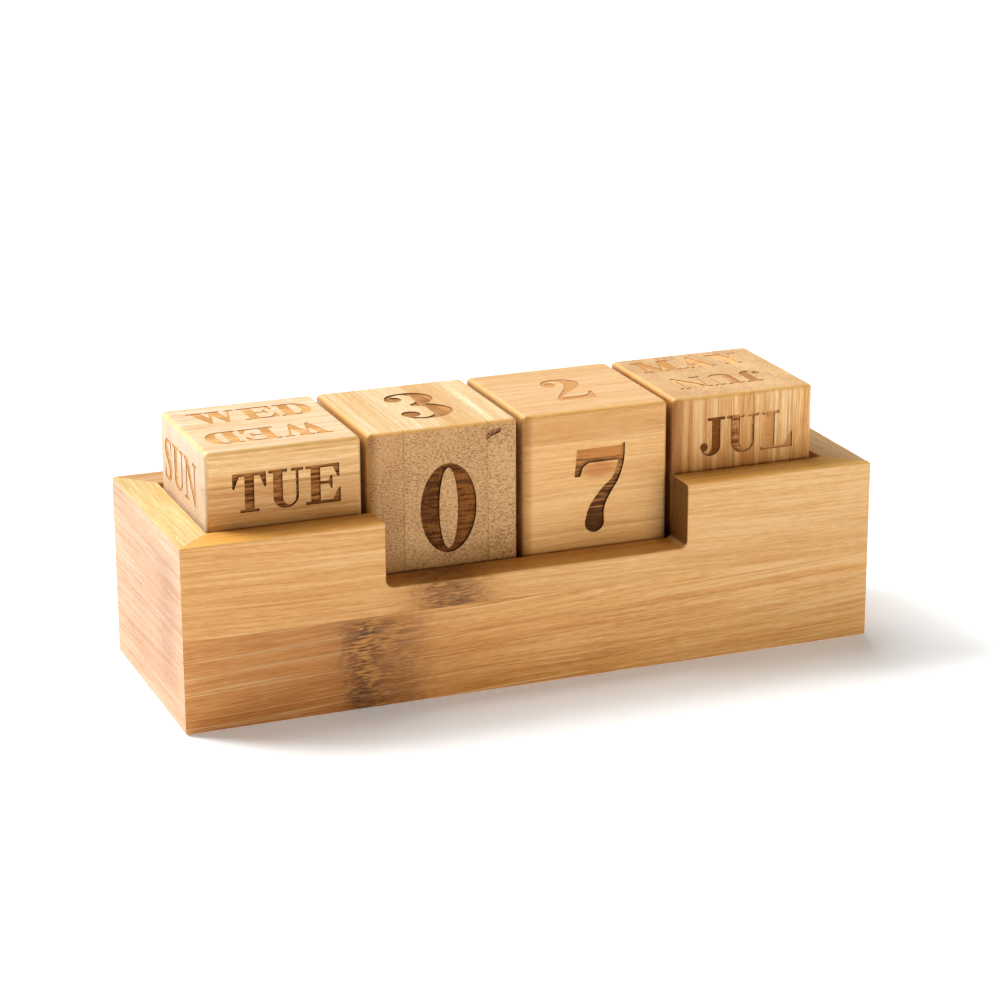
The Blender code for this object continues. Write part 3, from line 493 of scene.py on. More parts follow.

# Each cube: its glued pieces and the way they lie, the axis of its fibres, its lettering and how that is
# burnt. A side with two texts has the second one upside down under the first. A placing moves each row
# right and up, as the row reads, in millimetres, and resizes it. A shift moves a side's rows together.
# Burns are brown where none is named, and a side can have one for each row. The burn drift is how much
# lighter the burnt wood gets per millimetre along each axis, and it is reversed in a row that is upside
# down. Each piece has a tone, and another where its fibres are cut across. Slats are the thin strips that
# the pieces show, as pairs of a width in millimetres and a contrast. A band is a browner strip along the
# fibres: its centre, half its width and its strength. A scorch has a middle, a reach and a strength. Dark
# and pale are the strengths of the dark and the pale lines. Drift paints light and shade: it is how much
# paler the wood gets per millimetre along the fibres and upwards, so that it is darker towards the bottom.
# The top light and shade is painted on a cube's top, paler in the light and darker in shade. The shaded
# sides, right 1 and left -1, stand in a neighbour's painted shade.
BLOCKS = (
    {
        "name": "day_block",
        "seed": 20.0,
        "piece": "ply",
        "along": Vector((0, 0, 1)),
        "seam_shares": (0.26, 0.52, 0.775),
        "fibre_axis": 0,
        "tones": (0.85, 0.92, 1.0, 1.28),
        "slat_axis": 2,
        "slats": ((7, 0.06),),
        "end_tones": (1.35, 1.35, 1.40, 1.45),
        "end_contrast": 0.3,
        "lettering": {
            "front": ("TUE", "TUE"),
            "top": ("WED", "WED"),
            "left": ("SUN", "SAT"),
            "right": ("MON", "MON"),
            "back": ("THU", "THU"),
            "bottom": ("FRI", "FRI"),
        },
        "placings": {"front": (0.6, 0.03, 1), "top": (0.6, 0, 1), "left": (-1.7, 0.3, 1.1)},
        "burns": {"front": "brown", "top": "faint", "left": "faint"},
        "burn_drift": (0.003, 0, 0),
        "shaded_sides": (1,),
        "edge_highlight_strength": 0.5,
        "wash": (0.95, 1.0, 1.07),
        "bands": ((10.6, 0.5, 0.6), (-13.4, 0.5, 0.3)),
        "top_light_and_shade": (0.95, 1.08, 1.50),
        "end_wash": (0.95, 0.97, 1.14),
    },
    {
        "name": "left_number_block",
        "seed": 42.0,
        "piece": "board",
        "along": Vector((1, 0, 0)),
        "seam_shares": (0.24, 0.80),
        "fibre_axis": 1,
        "tones": (1.16, 1.10, 1.22),
        "contrast": 0.8,
        "slat_axis": 0,
        "slats": ((9, 0.14),),
        "end_tones": (0.90, 1.00, 1.02),
        "end_contrast": 0.88,
        "lettering": {"front": "0", "top": "3", "left": "1", "right": "2", "back": "4", "bottom": "5"},
        "placings": {"front": (1.4, -1.4, 1), "top": (0.9, 0, 1)},
        "burns": {"front": "deep", "top": "light", "back": "deep"},
        "burn_drift": (0.010, 0, 0),
        "bands": ((-13.5, 2.5, 0.5), (6.8, 4.8, 0.6)),
        "top_light_and_shade": (0.95, 1.20, 1.72),
        "glue_line": BOARD_GLUE_LINE,
    },
    {
        "name": "right_number_block",
        "seed": 64.0,
        "piece": "ply",
        "along": Vector((0, 0, 1)),
        "seam_shares": (0.21, 0.60, 0.80),
        "fibre_axis": 0,
        "tones": (1.32, 1.26, 1.22, 1.02),
        "contrast": 0.75,
        "slat_axis": 2,
        "slats": ((11, 0.05),),
        "end_tones": (1.1, 1.15, 1.1, 1.1),
        "end_contrast": 0.7,
        "lettering": {"front": "7", "top": "2", "left": "0", "right": "1", "back": "6", "bottom": "8"},
        "placings": {"front": (1.15, -1.4, 0.975), "top": (0, -0.6, 0.8)},
        "burns": {"front": "graded", "top": "soft", "back": "deep"},
        "burn_drift": (0, 0, 0.028),
        "scorches": (((0.8, -20, 4.0), (7.0, 3.0, 3.4), 0.9),),
        "bands": ((-11.8, 0.5, 0.4),),
        "top_light_and_shade": (0.95, 1.06, 1.38),
    },
    {
        "name": "month_block",
        "seed": 86.0,
        "piece": "strip",
        "along": Vector((1, 0, 0)),
        "seam_shares": tuple(step / 7 for step in range(1, 7)),
        "fibre_axis": 2,
        "tones": (0.77, 0.88, 0.90, 1.01, 0.98, 1.10, 1.16),
        "contrast": 1.1,
        "slat_axis": 0,
        "slats": ((2.9, 0.16), (1.05, 0.26), (0.5, 0.14)),
        "dark": 0.6,
        "end_tones": (1.18, 1.25, 1.2, 1.25, 1.22, 1.28, 1.25),
        "end_contrast": 0.55,
        "drift": (0, 0.006),
        "lettering": {
            "front": ("JUL", "AUG"),
            "top": ("MAY", "JUN"),
            "left": ("JAN", "FEB"),
            "right": ("MAR", "APR"),
            "back": ("SEP", "OCT"),
            "bottom": ("NOV", "DEC"),
        },
        "placings": {"front": (1.1, 0, 1.02), "top": (0, 0, 0.97)},
        "shifts": {"top": (-1.1, 1.7)},
        "burns": {"front": "mild", "top": ("faint", "rough"), "left": "light"},
        "burn_drift": (0.040, 0, 0),
        "shaded_sides": (-1,),
        "top_light_and_shade": (0.92, 0.89, 0.84),
    },
)

# The tray's walls: the turn of each, then its lower and its upper strip. Places are in millimetres along
# the wall from its middle. A joint has a centre, half a width, a strength and the heights between which it
# shows. A stain is the soft brown round a joint, with the same numbers. Slant is how the fibres rise. Drift
# paints light and shade, as on the cubes.
WALLS = {
    "front": (
        0,
        {
            "tone": 0.93,
            "drift": (0.0014, 0.004),
            "slant": 0.03,
            "pale": 0.8,
            "contrast": 1.25,
            "dark": 0.3,
            "wash": (1.03, 0.975, 0.86),
            "stain_colour": (0.75, 0.66, 0.60),
            "joints": ((-47.5, 7, 0.98, -5, 24.6), (-40, 13, 0.56, -5, 24.0)),
            "stains": ((-62, 46, 0.95, -5, 28), (-45, 16, 0.6, -5, 28)),
        },
        {
            "tone": 0.95,
            # Painted shade on the window's sides, where the fibres are cut across: the darker end tone and
            # the end wash below
            "end_tone": 0.6,
            "drift": (0.0010, 0.003),
            "wash": (0.97, 0.94, 0.87),
            # Painted shade on the top of the strip: the sill and the rim, where the cubes cast their shade
            "top_light_and_shade": (1.0, 0.90, 0.50),
            "end_wash": (0.56, 0.51, 0.28),
            "slant": -0.015,
            "joints": ((-24, 12, 0.85, 22, 33),),
            "stains": ((-24, 18, 0.9, 19, 34),),
        },
    ),
    "right": (
        90,
        {"tone": 0.80, "drift": (0, 0.008), "slant": 0.02, "pale": 0.5},
        # The upper strip's top has the month cube's shadow painted on it
        {"tone": 1.0, "drift": (0, 0.002), "slant": -0.02, "top_light_and_shade": (0.80, 0.84, 1.0)},
    ),
    "back": (
        180,
        {
            "tone": 0.78,
            "wash": BACK_PAINTED_SHADE,
            "drift": (-0.0004, 0.008),
            "slant": 0.02,
            "pale": 0.6,
            "joints": ((30, 7, 0.8, -5, 30),),
            "stains": ((30, 24, 0.6, -5, 30),),
        },
        {
            "tone": 0.98,
            "wash": BACK_PAINTED_SHADE,
            "drift": (0.0004, 0.002),
            "slant": -0.02,
            "joints": ((-52, 6, 0.5, 20, 60),),
            "stains": ((-52, 20, 0.5, 20, 60),),
        },
    ),
    "left": (
        270,
        {
            "tone": 1.0,
            "drift": (0, 0.001),
            "slant": 0.02,
            "pale": 0.4,
            "wash": LEFT_PAINTED_LIGHT,
            "joints": ((17, 6, 0.10, 8, 30),),
            "stains": ((17, 11, 0.40, 6, 30), (3, 30, 0.30, 5, 40)),
        },
        {
            "tone": 1.02,
            "drift": (0, 0.001),
            "slant": 0.02,
            "pale": 0.4,
            "wash": LEFT_PAINTED_LIGHT,
            # Painted light on the lit top of the left wall
            "top_light_and_shade": (1.06, 1.26, 0.98),
            "joints": ((19, 6, 0.12, 20, 41),),
            "stains": ((19, 12, 0.40, 20, 44), (3, 30, 0.30, 5, 44)),
        },
    ),
}

# The look of a piece where nothing else is said of it
LOOK = {
    "contrast": 1.0,
    "drift": (0, 0),
    "slant": 0,
    "dark": 0,
    "joints": (),
    "stains": (),
    "stain_colour": STAIN_COLOUR,
    "bands": (),
    "scorches": (),
    "shaded_sides": (),
    "wash": PLAIN_WASH,
    "top_light_and_shade": PLAIN_WASH,
    "end_wash": PLAIN_WASH,
}
TRAY_LOOK = {
    **LOOK,
    "fibre_axis": 0,
    "pale": 0.3,
    "slat_axis": 2,
    "slats": (),
    "end_tone": 0.95,
    "end_contrast": 0.35,
    "edge_highlight_strength": 0.3,
}
FLOOR_LOOK = {**TRAY_LOOK, "seed": 61.0, "tone": 0.95, "slat_axis": 1, "slats": ((12, 0.10),)}
BLOCK_LOOK = {
    **LOOK,
    "pale": 0.25,
    "edge_highlight_strength": 0.75,
    "shaded_sides": (1, -1),
    "glue_line": GLUE_LINE,
}

# A small chip in the front of the left number cube: places in millimetres from the middle, and depths
CHIP_CORNERS = (
    (12.6, 17.7, 0.70),
    (11.3, 15.8, 0.30),
    (11.6, 15.1, 0.20),
    (13.4, 16.2, 0.30),
    (15.2, 16.8, 0.60),
    (15.8, 17.9, 0.70),
)


def span(*nodes):
    """Lowest and highest corner of several CAD nodes together."""
    lows, highs = zip(*(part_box(node) for node in nodes))
    return Vector(map(min, zip(*lows))), Vector(map(max, zip(*highs)))


def block_nodes(block):
    count = len(block["seam_shares"]) + 1
    return [f"{block['name']}_{block['piece']}_{number + 1}" for number in range(count)]


# The tray's sizes, as the frame has them
upper_low, upper_high = span("front_wall_upper_strip")
lower_low, lower_high = span("front_wall_lower_strip")
floor_low, floor_high = span("floor_panel")
TRAY_LENGTH, TRAY_WIDTH = (cad_box[1] - cad_box[0]).xy
TRAY_HEIGHT = upper_high.z
WALL = upper_high.y - upper_low.y
SEAM_HEIGHT = (upper_low.z + lower_high.z) / 2
FLOOR_RECESS = floor_low.z
FLOOR_TOP = floor_high.z
POCKET_LENGTH = TRAY_LENGTH - 2 * WALL
POCKET_WIDTH = TRAY_WIDTH - 2 * WALL
WINDOW_FLOOR = FLOOR_TOP + WINDOW_LIP
number_low, number_high = span(*block_nodes(BLOCKS[1]), *block_nodes(BLOCKS[2]))
WINDOW_WIDTH = number_high.x - number_low.x
BLOCK_SIDE = number_high.z - number_low.z


def add_node(tree, kind, *inputs, **settings):
    """Adds a shader node and fills its inputs in order with values or with other nodes' outputs."""
    item = tree.nodes.new("ShaderNode" + kind)
    for key, value in settings.items():
        setattr(item, key, value)
    for socket, value in zip(item.inputs, inputs):
        if isinstance(value, bpy.types.NodeSocket):
            tree.links.new(value, socket)
        elif value is not None:
            socket.default_value = value
    return item.outputs[0]


def fill(tree, shader, inputs):
    """Sets or links a node's inputs by name."""
    for name, value in inputs.items():
        if isinstance(value, bpy.types.NodeSocket):
            tree.links.new(value, shader.inputs[name])
        else:
            shader.inputs[name].default_value = value


def new_material(name):
    material = bpy.data.materials.new(name)
    material.use_nodes = True
    return material, material.node_tree, material.node_tree.nodes["Principled BSDF"]


def calc(tree, operation, *values):
    return add_node(tree, "Math", *values, operation=operation)


def calc_vector(tree, operation, *vectors):
    return add_node(tree, "VectorMath", *vectors, operation=operation)


def axes(tree, vector):
    """The x, the y and the z of a vector."""
    return tuple(add_node(tree, "SeparateXYZ", vector).node.outputs)


def away(tree, value, centre):
    return calc(tree, "ABSOLUTE", calc(tree, "SUBTRACT", value, centre))


def add_spread(tree, base, value, weight):
    """Adds a weighted share of how far a value lies above or below 0.5."""
    return calc(tree, "MULTIPLY_ADD", calc(tree, "SUBTRACT", value, 0.5), weight, base)


def ramp_value(tree, value, low, high, low_result=0.0, high_result=1.0):
    """Maps a value to a smooth step between two limits."""
    limits = low, high, low_result, high_result
    return add_node(tree, "MapRange", value, *limits, interpolation_type="SMOOTHSTEP", clamp=True)


def blend_colours(tree, share, first, second, mode="MIX"):
    item = tree.nodes.new("ShaderNodeMix")
    item.data_type = "RGBA"
    item.blend_type = mode
    sockets = {socket.identifier: socket for socket in (*item.inputs, *item.outputs)}
    for name, value in (("Factor_Float", share), ("A_Color", first), ("B_Color", second)):
        if isinstance(value, bpy.types.NodeSocket):
            tree.links.new(value, sockets[name])
        else:
            sockets[name].default_value = value if name == "Factor_Float" else (*value, 1)
    return sockets["Result_Color"]


def tint(tree, colour, wash, share=1.0):
    return blend_colours(tree, share, colour, wash, "MULTIPLY")


def colour_ramp(tree, value, stops):
    """A colour for each value: stops are pairs of a place and a linear colour."""
    item = tree.nodes.new("ShaderNodeValToRGB")
    elements = item.color_ramp.elements
    while len(elements) < len(stops):
        elements.new(0.5)
    for element, (place, colour) in zip(elements, stops):
        element.position = place
        element.color = (*colour, 1)
    tree.links.new(value, item.inputs[0])
    return item.outputs[0]


def sized_noise(tree, place, sizes, seed, detail):
    """Noise in features of a size along x, y and z, in millimetres."""
    scale = [1 / size for size in sizes]
    moved = add_node(tree, "Mapping", place, (seed, seed / 2, -seed), (0, 0, 0), scale)
    return add_node(tree, "TexNoise", moved, None, 1.0, detail, 0.5)


def stretched_noise(tree, place, axis, across, along, seed, detail=2.0):
    """Noise in features of a width across the fibres and a length along them, in millimetres."""
    sizes = [across] * 3
    sizes[axis] = along
    return sized_noise(tree, place, sizes, seed, detail)


def scaled(tree, vector, factor):
    item = calc_vector(tree, "SCALE", vector)
    item.node.inputs["Scale"].default_value = factor
    return item


def own_place(tree):
    """The piece's own coordinates in millimetres."""
    return scaled(tree, tree.nodes.new("ShaderNodeTexCoord").outputs["Object"], 1 / MM)


def warped_place(tree, place, look):
    """The piece's own coordinates, bent so that no fibre runs dead straight."""
    seed = look["seed"]
    scale = [1 / WARP_ACROSS] * 3
    scale[look["fibre_axis"]] = 1 / WARP_ALONG
    moved = add_node(tree, "Mapping", place, (seed, seed, seed), (0, 0, 0), scale)
    noise = add_node(tree, "TexNoise", moved, None, 1.0, 1.0).node.outputs["Color"]
    centred = calc_vector(tree, "SUBTRACT", noise, (0.5, 0.5, 0.5))
    warped = calc_vector(tree, "ADD", place, scaled(tree, centred, WARP_REACH))
    if look.get("slant"):
        warped = add_node(tree, "Mapping", warped, None, (0, look["slant"], 0))
    return warped


def edge_highlight_share(tree, place, centre, half):
    """1 along the edges of a box, in millimetres, where a highlight is painted, and 0 away from them."""
    size = calc_vector(tree, "ABSOLUTE", calc_vector(tree, "SUBTRACT", place, tuple(centre)))
    x, y, z = axes(tree, calc_vector(tree, "SUBTRACT", size, tuple(half)))
    lower = calc(tree, "MINIMUM", x, y)
    upper = calc(tree, "MAXIMUM", x, y)
    second = calc(tree, "MAXIMUM", lower, calc(tree, "MINIMUM", upper, z))
    uneven = add_node(tree, "TexNoise", place, None, HIGHLIGHT_NOISE_SCALE, 2.0)
    return ramp_value(tree, add_spread(tree, second, uneven, HIGHLIGHT_RAGGED), -HIGHLIGHT_REACH, -HIGHLIGHT_REACH / 4)


def fibre_fields(tree, place, axis, seed):
    """The layers of grain, from broad tones down to single fibres, each around 0.5."""
    fields = {
        name: stretched_noise(tree, place, axis, across, along, seed + number, detail)
        for number, (name, (across, along, detail)) in enumerate(GRAIN_LAYERS.items())
    }
    fields["pore"] = sized_noise(tree, place, PORE_SIZES[axis], seed, 1.0)
    return fields


def weighted(tree, fields, weights, contrast=1.0):
    """0.5 plus the weighted spread of several fields about 0.5."""
    total = 0.5
    for name, weight in weights.items():
        total = add_spread(tree, total, fields[name], weight * contrast)
    return total


def toned(stops, tone, wash=PLAIN_WASH):
    """The stops of a colour ramp, darker and redder for a tone under 1 and paler for one over 1."""
    factors = [tone**power * share for power, share in zip(TONE_POWERS, wash)]
    return [(place, [part * factor for part, factor in zip(colour, factors)]) for place, colour in stops]


def add_slats(tree, value, place, look):
    """Steps in tone from one thin strip to the next."""
    across = axes(tree, place)[look["slat_axis"]]
    for width, contrast in look["slats"]:
        cells = add_node(tree, "TexVoronoi", voronoi_dimensions="1D", feature="F1").node
        fill(tree, cells, {"W": calc(tree, "MULTIPLY_ADD", across, 1 / width, look["seed"]), "Scale": 1})
        value = add_spread(tree, value, add_node(tree, "SeparateColor", cells.outputs["Color"]), contrast)
    return value


def side_grain(tree, look, fields, straight, place):
    """The colour of the long fibres, with their slats, fine lines, bands and scorches."""
    value = add_slats(tree, weighted(tree, fields, GRAIN_WEIGHTS, look["contrast"]), place, look)
    parts = axes(tree, straight)
    # Painted light and shade: the wood gets paler along the fibres and upwards, darker towards the bottom
    for part, drift in zip((parts[look["fibre_axis"]], parts[2]), look["drift"]):
        value = calc(tree, "MULTIPLY_ADD", part, drift, value)
    colour = colour_ramp(tree, value, toned(SIDE_COLOURS, look["tone"]))
    pale = ramp_value(tree, fields["line"], *PALE_LINES, 0.0, look["pale"])
    colour = blend_colours(tree, pale, colour, [min(part * look["tone"], 1) for part in PALE_COLOUR])
    if look["dark"]:
        thin = ramp_value(tree, fields["vein"], *DARK_LINES, 0.0, look["dark"])
        colour = blend_colours(tree, thin, colour, VEIN_COLOUR)
    for centre, half, strength in look["bands"]:
        distance = away(tree, axes(tree, place)[look["slat_axis"]], centre)
        rim = [half * share for share in BAND_RIM_SHARES]
        colour = tint(tree, colour, BAND_COLOUR, ramp_value(tree, distance, *rim, strength, 0.0))
    for middle, reach, strength in look["scorches"]:
        offset = calc_vector(tree, "SUBTRACT", straight, middle)
        offset = calc_vector(tree, "MULTIPLY", offset, [1 / part for part in reach])
        distance = calc_vector(tree, "LENGTH", offset).node.outputs["Value"]
        share = ramp_value(tree, distance, *SCORCH_RIM_SHARES, strength, 0.0)
        colour = tint(tree, colour, SCORCH_COLOUR, share)
    return colour


def patch_share(tree, parts, axis, ragged, patch, inner_share):
    """How much of a joint or a stain shows, from its centre, half width, strength and two heights."""
    centre, half, strength, low, high = patch
    distance = calc(tree, "ADD", ragged, away(tree, parts[axis], centre))
    share = ramp_value(tree, distance, half * inner_share, half * PATCH_OUTER_SHARE, strength, 0.0)
    for limit, inner in ((low, low + PATCH_FADE), (high, high - PATCH_FADE)):
        share = calc(tree, "MULTIPLY", share, ramp_value(tree, parts[2], limit, inner))
    return share


def with_joints(tree, colour, look, fields, straight):
    """Bamboo joints: speckled brown bands across the fibres, in a soft brown stain."""
    axis, parts = look["fibre_axis"], axes(tree, straight)
    rough_edge = stretched_noise(tree, straight, axis, RAGGED_SIZE, RAGGED_SIZE, look["seed"] + RAGGED_SEED)
    ragged = add_spread(tree, 0.0, rough_edge, JOINT_RAGGED)
    uneven = calc(tree, "MULTIPLY_ADD", fields["band"], *STAIN_UNEVEN)
    for stain in look["stains"]:
        share = patch_share(tree, parts, axis, ragged, stain, STAIN_INNER_SHARE)
        colour = tint(tree, colour, look["stain_colour"], calc(tree, "MULTIPLY", share, uneven))
    speckled = add_spread(tree, fields["dash"], fields["patch"], BLOTCH_WEIGHT)
    marks = colour_ramp(tree, speckled, JOINT_COLOURS)
    for joint in look["joints"]:
        share = patch_share(tree, parts, axis, ragged, joint, JOINT_INNER_SHARE)
        share = calc(tree, "MULTIPLY", share, ramp_value(tree, fields["patch"], *JOINT_PATCHES))
        colour = blend_colours(tree, share, colour, marks)
    return colour


def with_painted_light(tree, colour, look, straight, normal):
    """Paints light and shade: a warm highlight along the eased top edges, light and shade on the top, a
    wash over the whole piece, which on the left and the back walls is painted light and shade, and a
    neighbour's shade on the sides.
    """
    sideways, inward, upward = axes(tree, normal)
    # Painted highlight along the eased edges that face up
    highlight = edge_highlight_share(tree, straight, look["centre"], look["half"])
    highlight = calc(tree, "MULTIPLY", highlight, ramp_value(tree, upward, *HIGHLIGHT_FACING, 0.0, look["edge_highlight_strength"]))
    colour = blend_colours(tree, highlight, colour, EDGE_HIGHLIGHT_COLOUR)
    # Painted light and shade on the top: paler where the light is strong, darker in shade
    colour = tint(tree, colour, look["top_light_and_shade"], ramp_value(tree, upward, *TOP_LIGHT_FACING))
    colour = tint(tree, colour, look["wash"])
    for side in look["shaded_sides"]:
        share = ramp_value(tree, calc(tree, "MULTIPLY", sideways, side), *SHADE_FACING[side])
        if side < 0:
            inside = calc(tree, "ADD", axes(tree, straight)[0], look["half"].x)
            near = ramp_value(tree, inside, SHADE_REACH / 4, SHADE_REACH, 1.0, 0.0)
            near = calc(tree, "MULTIPLY", near, ramp_value(tree, inward, *FRONT_FACING, 1.0, 0.0))
            share = calc(tree, "MAXIMUM", share, near)
        colour = tint(tree, colour, SHADED_WASH, share)
    return colour


def bumped(tree, height, depth):
    bump = add_node(tree, "Bump", BUMP_STRENGTH, depth)
    fill(tree, bump.node, {"Height": height})
    return bump


def bamboo(name, look):
    """A lacquered bamboo: long fibres on the sides, pores where they are cut across, and painted light and
    shade on its edges, top and sides.
    """
    material, tree, shader = new_material(name)
    axis = look["fibre_axis"]
    straight = own_place(tree)
    place = warped_place(tree, straight, look)
    fields = fibre_fields(tree, place, axis, look["seed"])
    pores = add_spread(tree, 0.5, fields["pore"], look["end_contrast"])
    pores = add_spread(tree, pores, fields["broad"], END_BROAD_WEIGHT)
    end = colour_ramp(tree, pores, toned(END_COLOURS, look["end_tone"], look["end_wash"]))
    normal = tree.nodes.new("ShaderNodeTexCoord").outputs["Normal"]
    end_share = ramp_value(tree, calc(tree, "ABSOLUTE", axes(tree, normal)[axis]), *END_FACING)
    colour = blend_colours(tree, end_share, side_grain(tree, look, fields, straight, place), end)
    if look["stains"] or look["joints"]:
        colour = with_joints(tree, colour, look, fields, straight)
    rough = add_spread(tree, WOOD_ROUGHNESS, fields["streak"], ROUGHNESS_WEIGHT)
    relief = calc(tree, "MULTIPLY", calc(tree, "SUBTRACT", pores, 0.5), end_share)
    relief = calc(tree, "MULTIPLY_ADD", relief, END_RELIEF_WEIGHT, weighted(tree, fields, BUMP_WEIGHTS))
    fill(
        tree,
        shader,
        {
            "Base Color": with_painted_light(tree, colour, look, straight, normal),
            "Specular IOR Level": WOOD_SPECULAR,
            "Coat Weight": COAT_WEIGHT,
            "Coat Roughness": COAT_ROUGHNESS,
            "Roughness": calc(tree, "MULTIPLY_ADD", end_share, END_ROUGHER, rough),
            "Normal": bumped(tree, relief, BUMP_DEPTH),
        },
    )
    return material


def fill_dull(tree, shader, value, stops, depth):
    """A dull, dark surface whose colour and relief both follow one value."""
    colour = colour_ramp(tree, value, stops)
    normal = bumped(tree, value, depth)
    dull = {"Roughness": BURNT_ROUGHNESS, "Specular IOR Level": BURNT_SPECULAR}
    fill(tree, shader, {"Base Color": colour, "Normal": normal, **dull})


def burnt(name, look, dark, pale):
    """Laser-burnt bamboo at the bottom of the lettering, with the fine lines of the laser's passes."""
    material, tree, shader = new_material(name)
    straight = own_place(tree)
    place = warped_place(tree, straight, look)
    fields = fibre_fields(tree, place, look["fibre_axis"], look["seed"])
    fields["pass"] = sized_noise(tree, straight, PASS_SIZE, look["seed"], 1.0)
    value = add_slats(tree, weighted(tree, fields, BURN_WEIGHTS), place, look)
    lighter = calc_vector(tree, "DOT_PRODUCT", straight, look["burn_drift"]).node.outputs["Value"]
    value = calc(tree, "ADD", value, lighter)
    fill_dull(tree, shader, value, list(zip(BURN_STOPS, (dark, pale))), BURNT_BUMP_DEPTH)
    return material


def broken_wood(name):
    """The rough dark bottom of a chip."""
    material, tree, shader = new_material(name)
    uneven = add_node(tree, "TexNoise", own_place(tree), None, CHIP_SCALE, 2.0)
    fill_dull(tree, shader, uneven, CHIP_COLOURS, CHIP_BUMP_DEPTH)
    return material


def push(shape, faces, along):
    """Extrudes faces by a vector, which closes a lone face into a prism."""
    moved = bmesh.ops.extrude_face_region(shape, geom=faces)["geom"]
    verts = [item for item in moved if isinstance(item, bmesh.types.BMVert)]
    bmesh.ops.translate(shape, vec=along, verts=verts)


def prism(outline, along):
    shape = bmesh.new()
    face = shape.faces.new([shape.verts.new(point) for point in outline])
    push(shape, [face], along)
    bmesh.ops.recalc_face_normals(shape, faces=shape.faces[:])
    return shape


def keep_side(shape, point, outward):
    """Drops what lies beyond a plane and closes the cut."""
    everything = shape.verts[:] + shape.edges[:] + shape.faces[:]
    cut = bmesh.ops.bisect_plane(shape, geom=everything, plane_co=point, plane_no=outward, clear_outer=True)
    rim = [item for item in cut["geom_cut"] if isinstance(item, bmesh.types.BMEdge)]
    bmesh.ops.holes_fill(shape, edges=rim)


def ease(shape, edges, width, segments):
    bmesh.ops.bevel(shape, geom=edges, offset=width, segments=segments, profile=0.5, affect="EDGES")


def is_mitre(face):
    return min(abs(face.normal.x), abs(face.normal.y)) > math.sin(FLAT_ANGLE)


def shown_edges(shape, is_shown):
    """The sharp edges between two faces that are shown."""
    return [
        edge
        for edge in shape.edges
        if all(is_shown(face) for face in edge.link_faces) and edge.calc_face_angle() > SHARP_ANGLE
    ]


def link(name, data):
    """A new object of the scene."""
    item = bpy.data.objects.new(name, data)
    bpy.context.scene.collection.objects.link(item)
    return item


def link_shape(name, shape, materials):
    """Turns a finished bmesh into an object with the given materials."""
    bmesh.ops.recalc_face_normals(shape, faces=shape.faces[:])
    mesh = bpy.data.meshes.new(name)
    shape.to_mesh(mesh)
    shape.free()
    for material in materials:
        mesh.materials.append(material)
    return link(name, mesh)


def weld(mesh):
    """Takes out the hairline slivers that the cutting leaves."""
    shape = bmesh.new()
    shape.from_mesh(mesh)
    bmesh.ops.remove_doubles(shape, verts=shape.verts[:], dist=WELD)
    bmesh.ops.dissolve_degenerate(shape, edges=shape.edges[:], dist=WELD)
    shape.to_mesh(mesh)
    shape.free()


def engrave(piece, cutter):
    """Cuts a cube's lettering out of one of its pieces."""
    engraving = piece.modifiers.new("engraving", "BOOLEAN")
    engraving.operation = "DIFFERENCE"
    engraving.solver = "EXACT"
    engraving.material_mode = "TRANSFER"
    engraving.object = cutter
    bpy.context.view_layer.update()
    graph = bpy.context.evaluated_depsgraph_get()
    plain = piece.data
    cut = bpy.data.meshes.new_from_object(piece.evaluated_get(graph), depsgraph=graph)
    piece.modifiers.clear()
    piece.data = cut
    cut.name = plain.name
    bpy.data.meshes.remove(plain)
    weld(cut)


def add_piece(shape, look, node, body, matrix=Matrix(), cutter=None):
    """Turns a finished bmesh into a bamboo piece that stands for one CAD node and rides on its body."""
    piece = link_shape(node + "_wood", shape, [bamboo(node + "_wood", look)])
    piece.matrix_world = matrix
    if cutter:
        engrave(piece, cutter)
    piece.data.shade_smooth()
    piece.data.set_sharp_from_angle(angle=SHARP_ANGLE)
    weighting = piece.modifiers.new("weighted_normals", "WEIGHTED_NORMAL")
    weighting.keep_sharp = True
    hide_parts(node)
    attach(piece, body)


def mitre_ends(shape, length):
    """Cuts both ends of a wall at 45 degrees, with half of the glue line taken off each."""
    setback = GLUE_LINE / math.sqrt(2)
    for side in (-1, 1):
        keep_side(shape, Vector((side * (length / 2 - setback), 0, 0)), Vector((side, 1, 0)))


def lower_strip(length):
    """A strip on the ground, outer face at y = 0, with the floor's groove along its inner face."""
    groove_back = WALL - TONGUE_REACH - GLUE_LINE
    groove_low = FLOOR_RECESS - GLUE_LINE
    groove_high = FLOOR_RECESS + TONGUE + GLUE_LINE
    top = SEAM_HEIGHT - GLUE_LINE / 2
    section = (
        (0, 0),
        (WALL, 0),
        (WALL, groove_low),
        (groove_back, groove_low),
        (groove_back, groove_high),
        (WALL, groove_high),
        (WALL, top),
        (0, top),
    )
    shape = prism([(-length / 2, y, z) for y, z in section], Vector((length, 0, 0)))
    mitre_ends(shape, length)
    edges = shown_edges(
        shape,
        lambda face: not is_mitre(face) and face.normal.z <= 0 and face.calc_center_median().z < groove_low,
    )
    ease(shape, edges, TRAY_EDGE, TRAY_EDGE_SEGMENTS)
    return shape


def window_outline():
    """The open window from its right top corner to its left one, round the two lower corners."""
    points = [(WINDOW_WIDTH / 2, TRAY_HEIGHT)]
    for side, turn in ((1, 0), (-1, -90)):
        for step in range(WINDOW_ARC_STEPS + 1):
            angle = math.radians(turn - 90 * step / WINDOW_ARC_STEPS)
            x = side * (WINDOW_WIDTH / 2 - WINDOW_RADIUS) + WINDOW_RADIUS * math.cos(angle)
            points.append((x, WINDOW_FLOOR + WINDOW_RADIUS + WINDOW_RADIUS * math.sin(angle)))
    points.append((-WINDOW_WIDTH / 2, TRAY_HEIGHT))
    return points


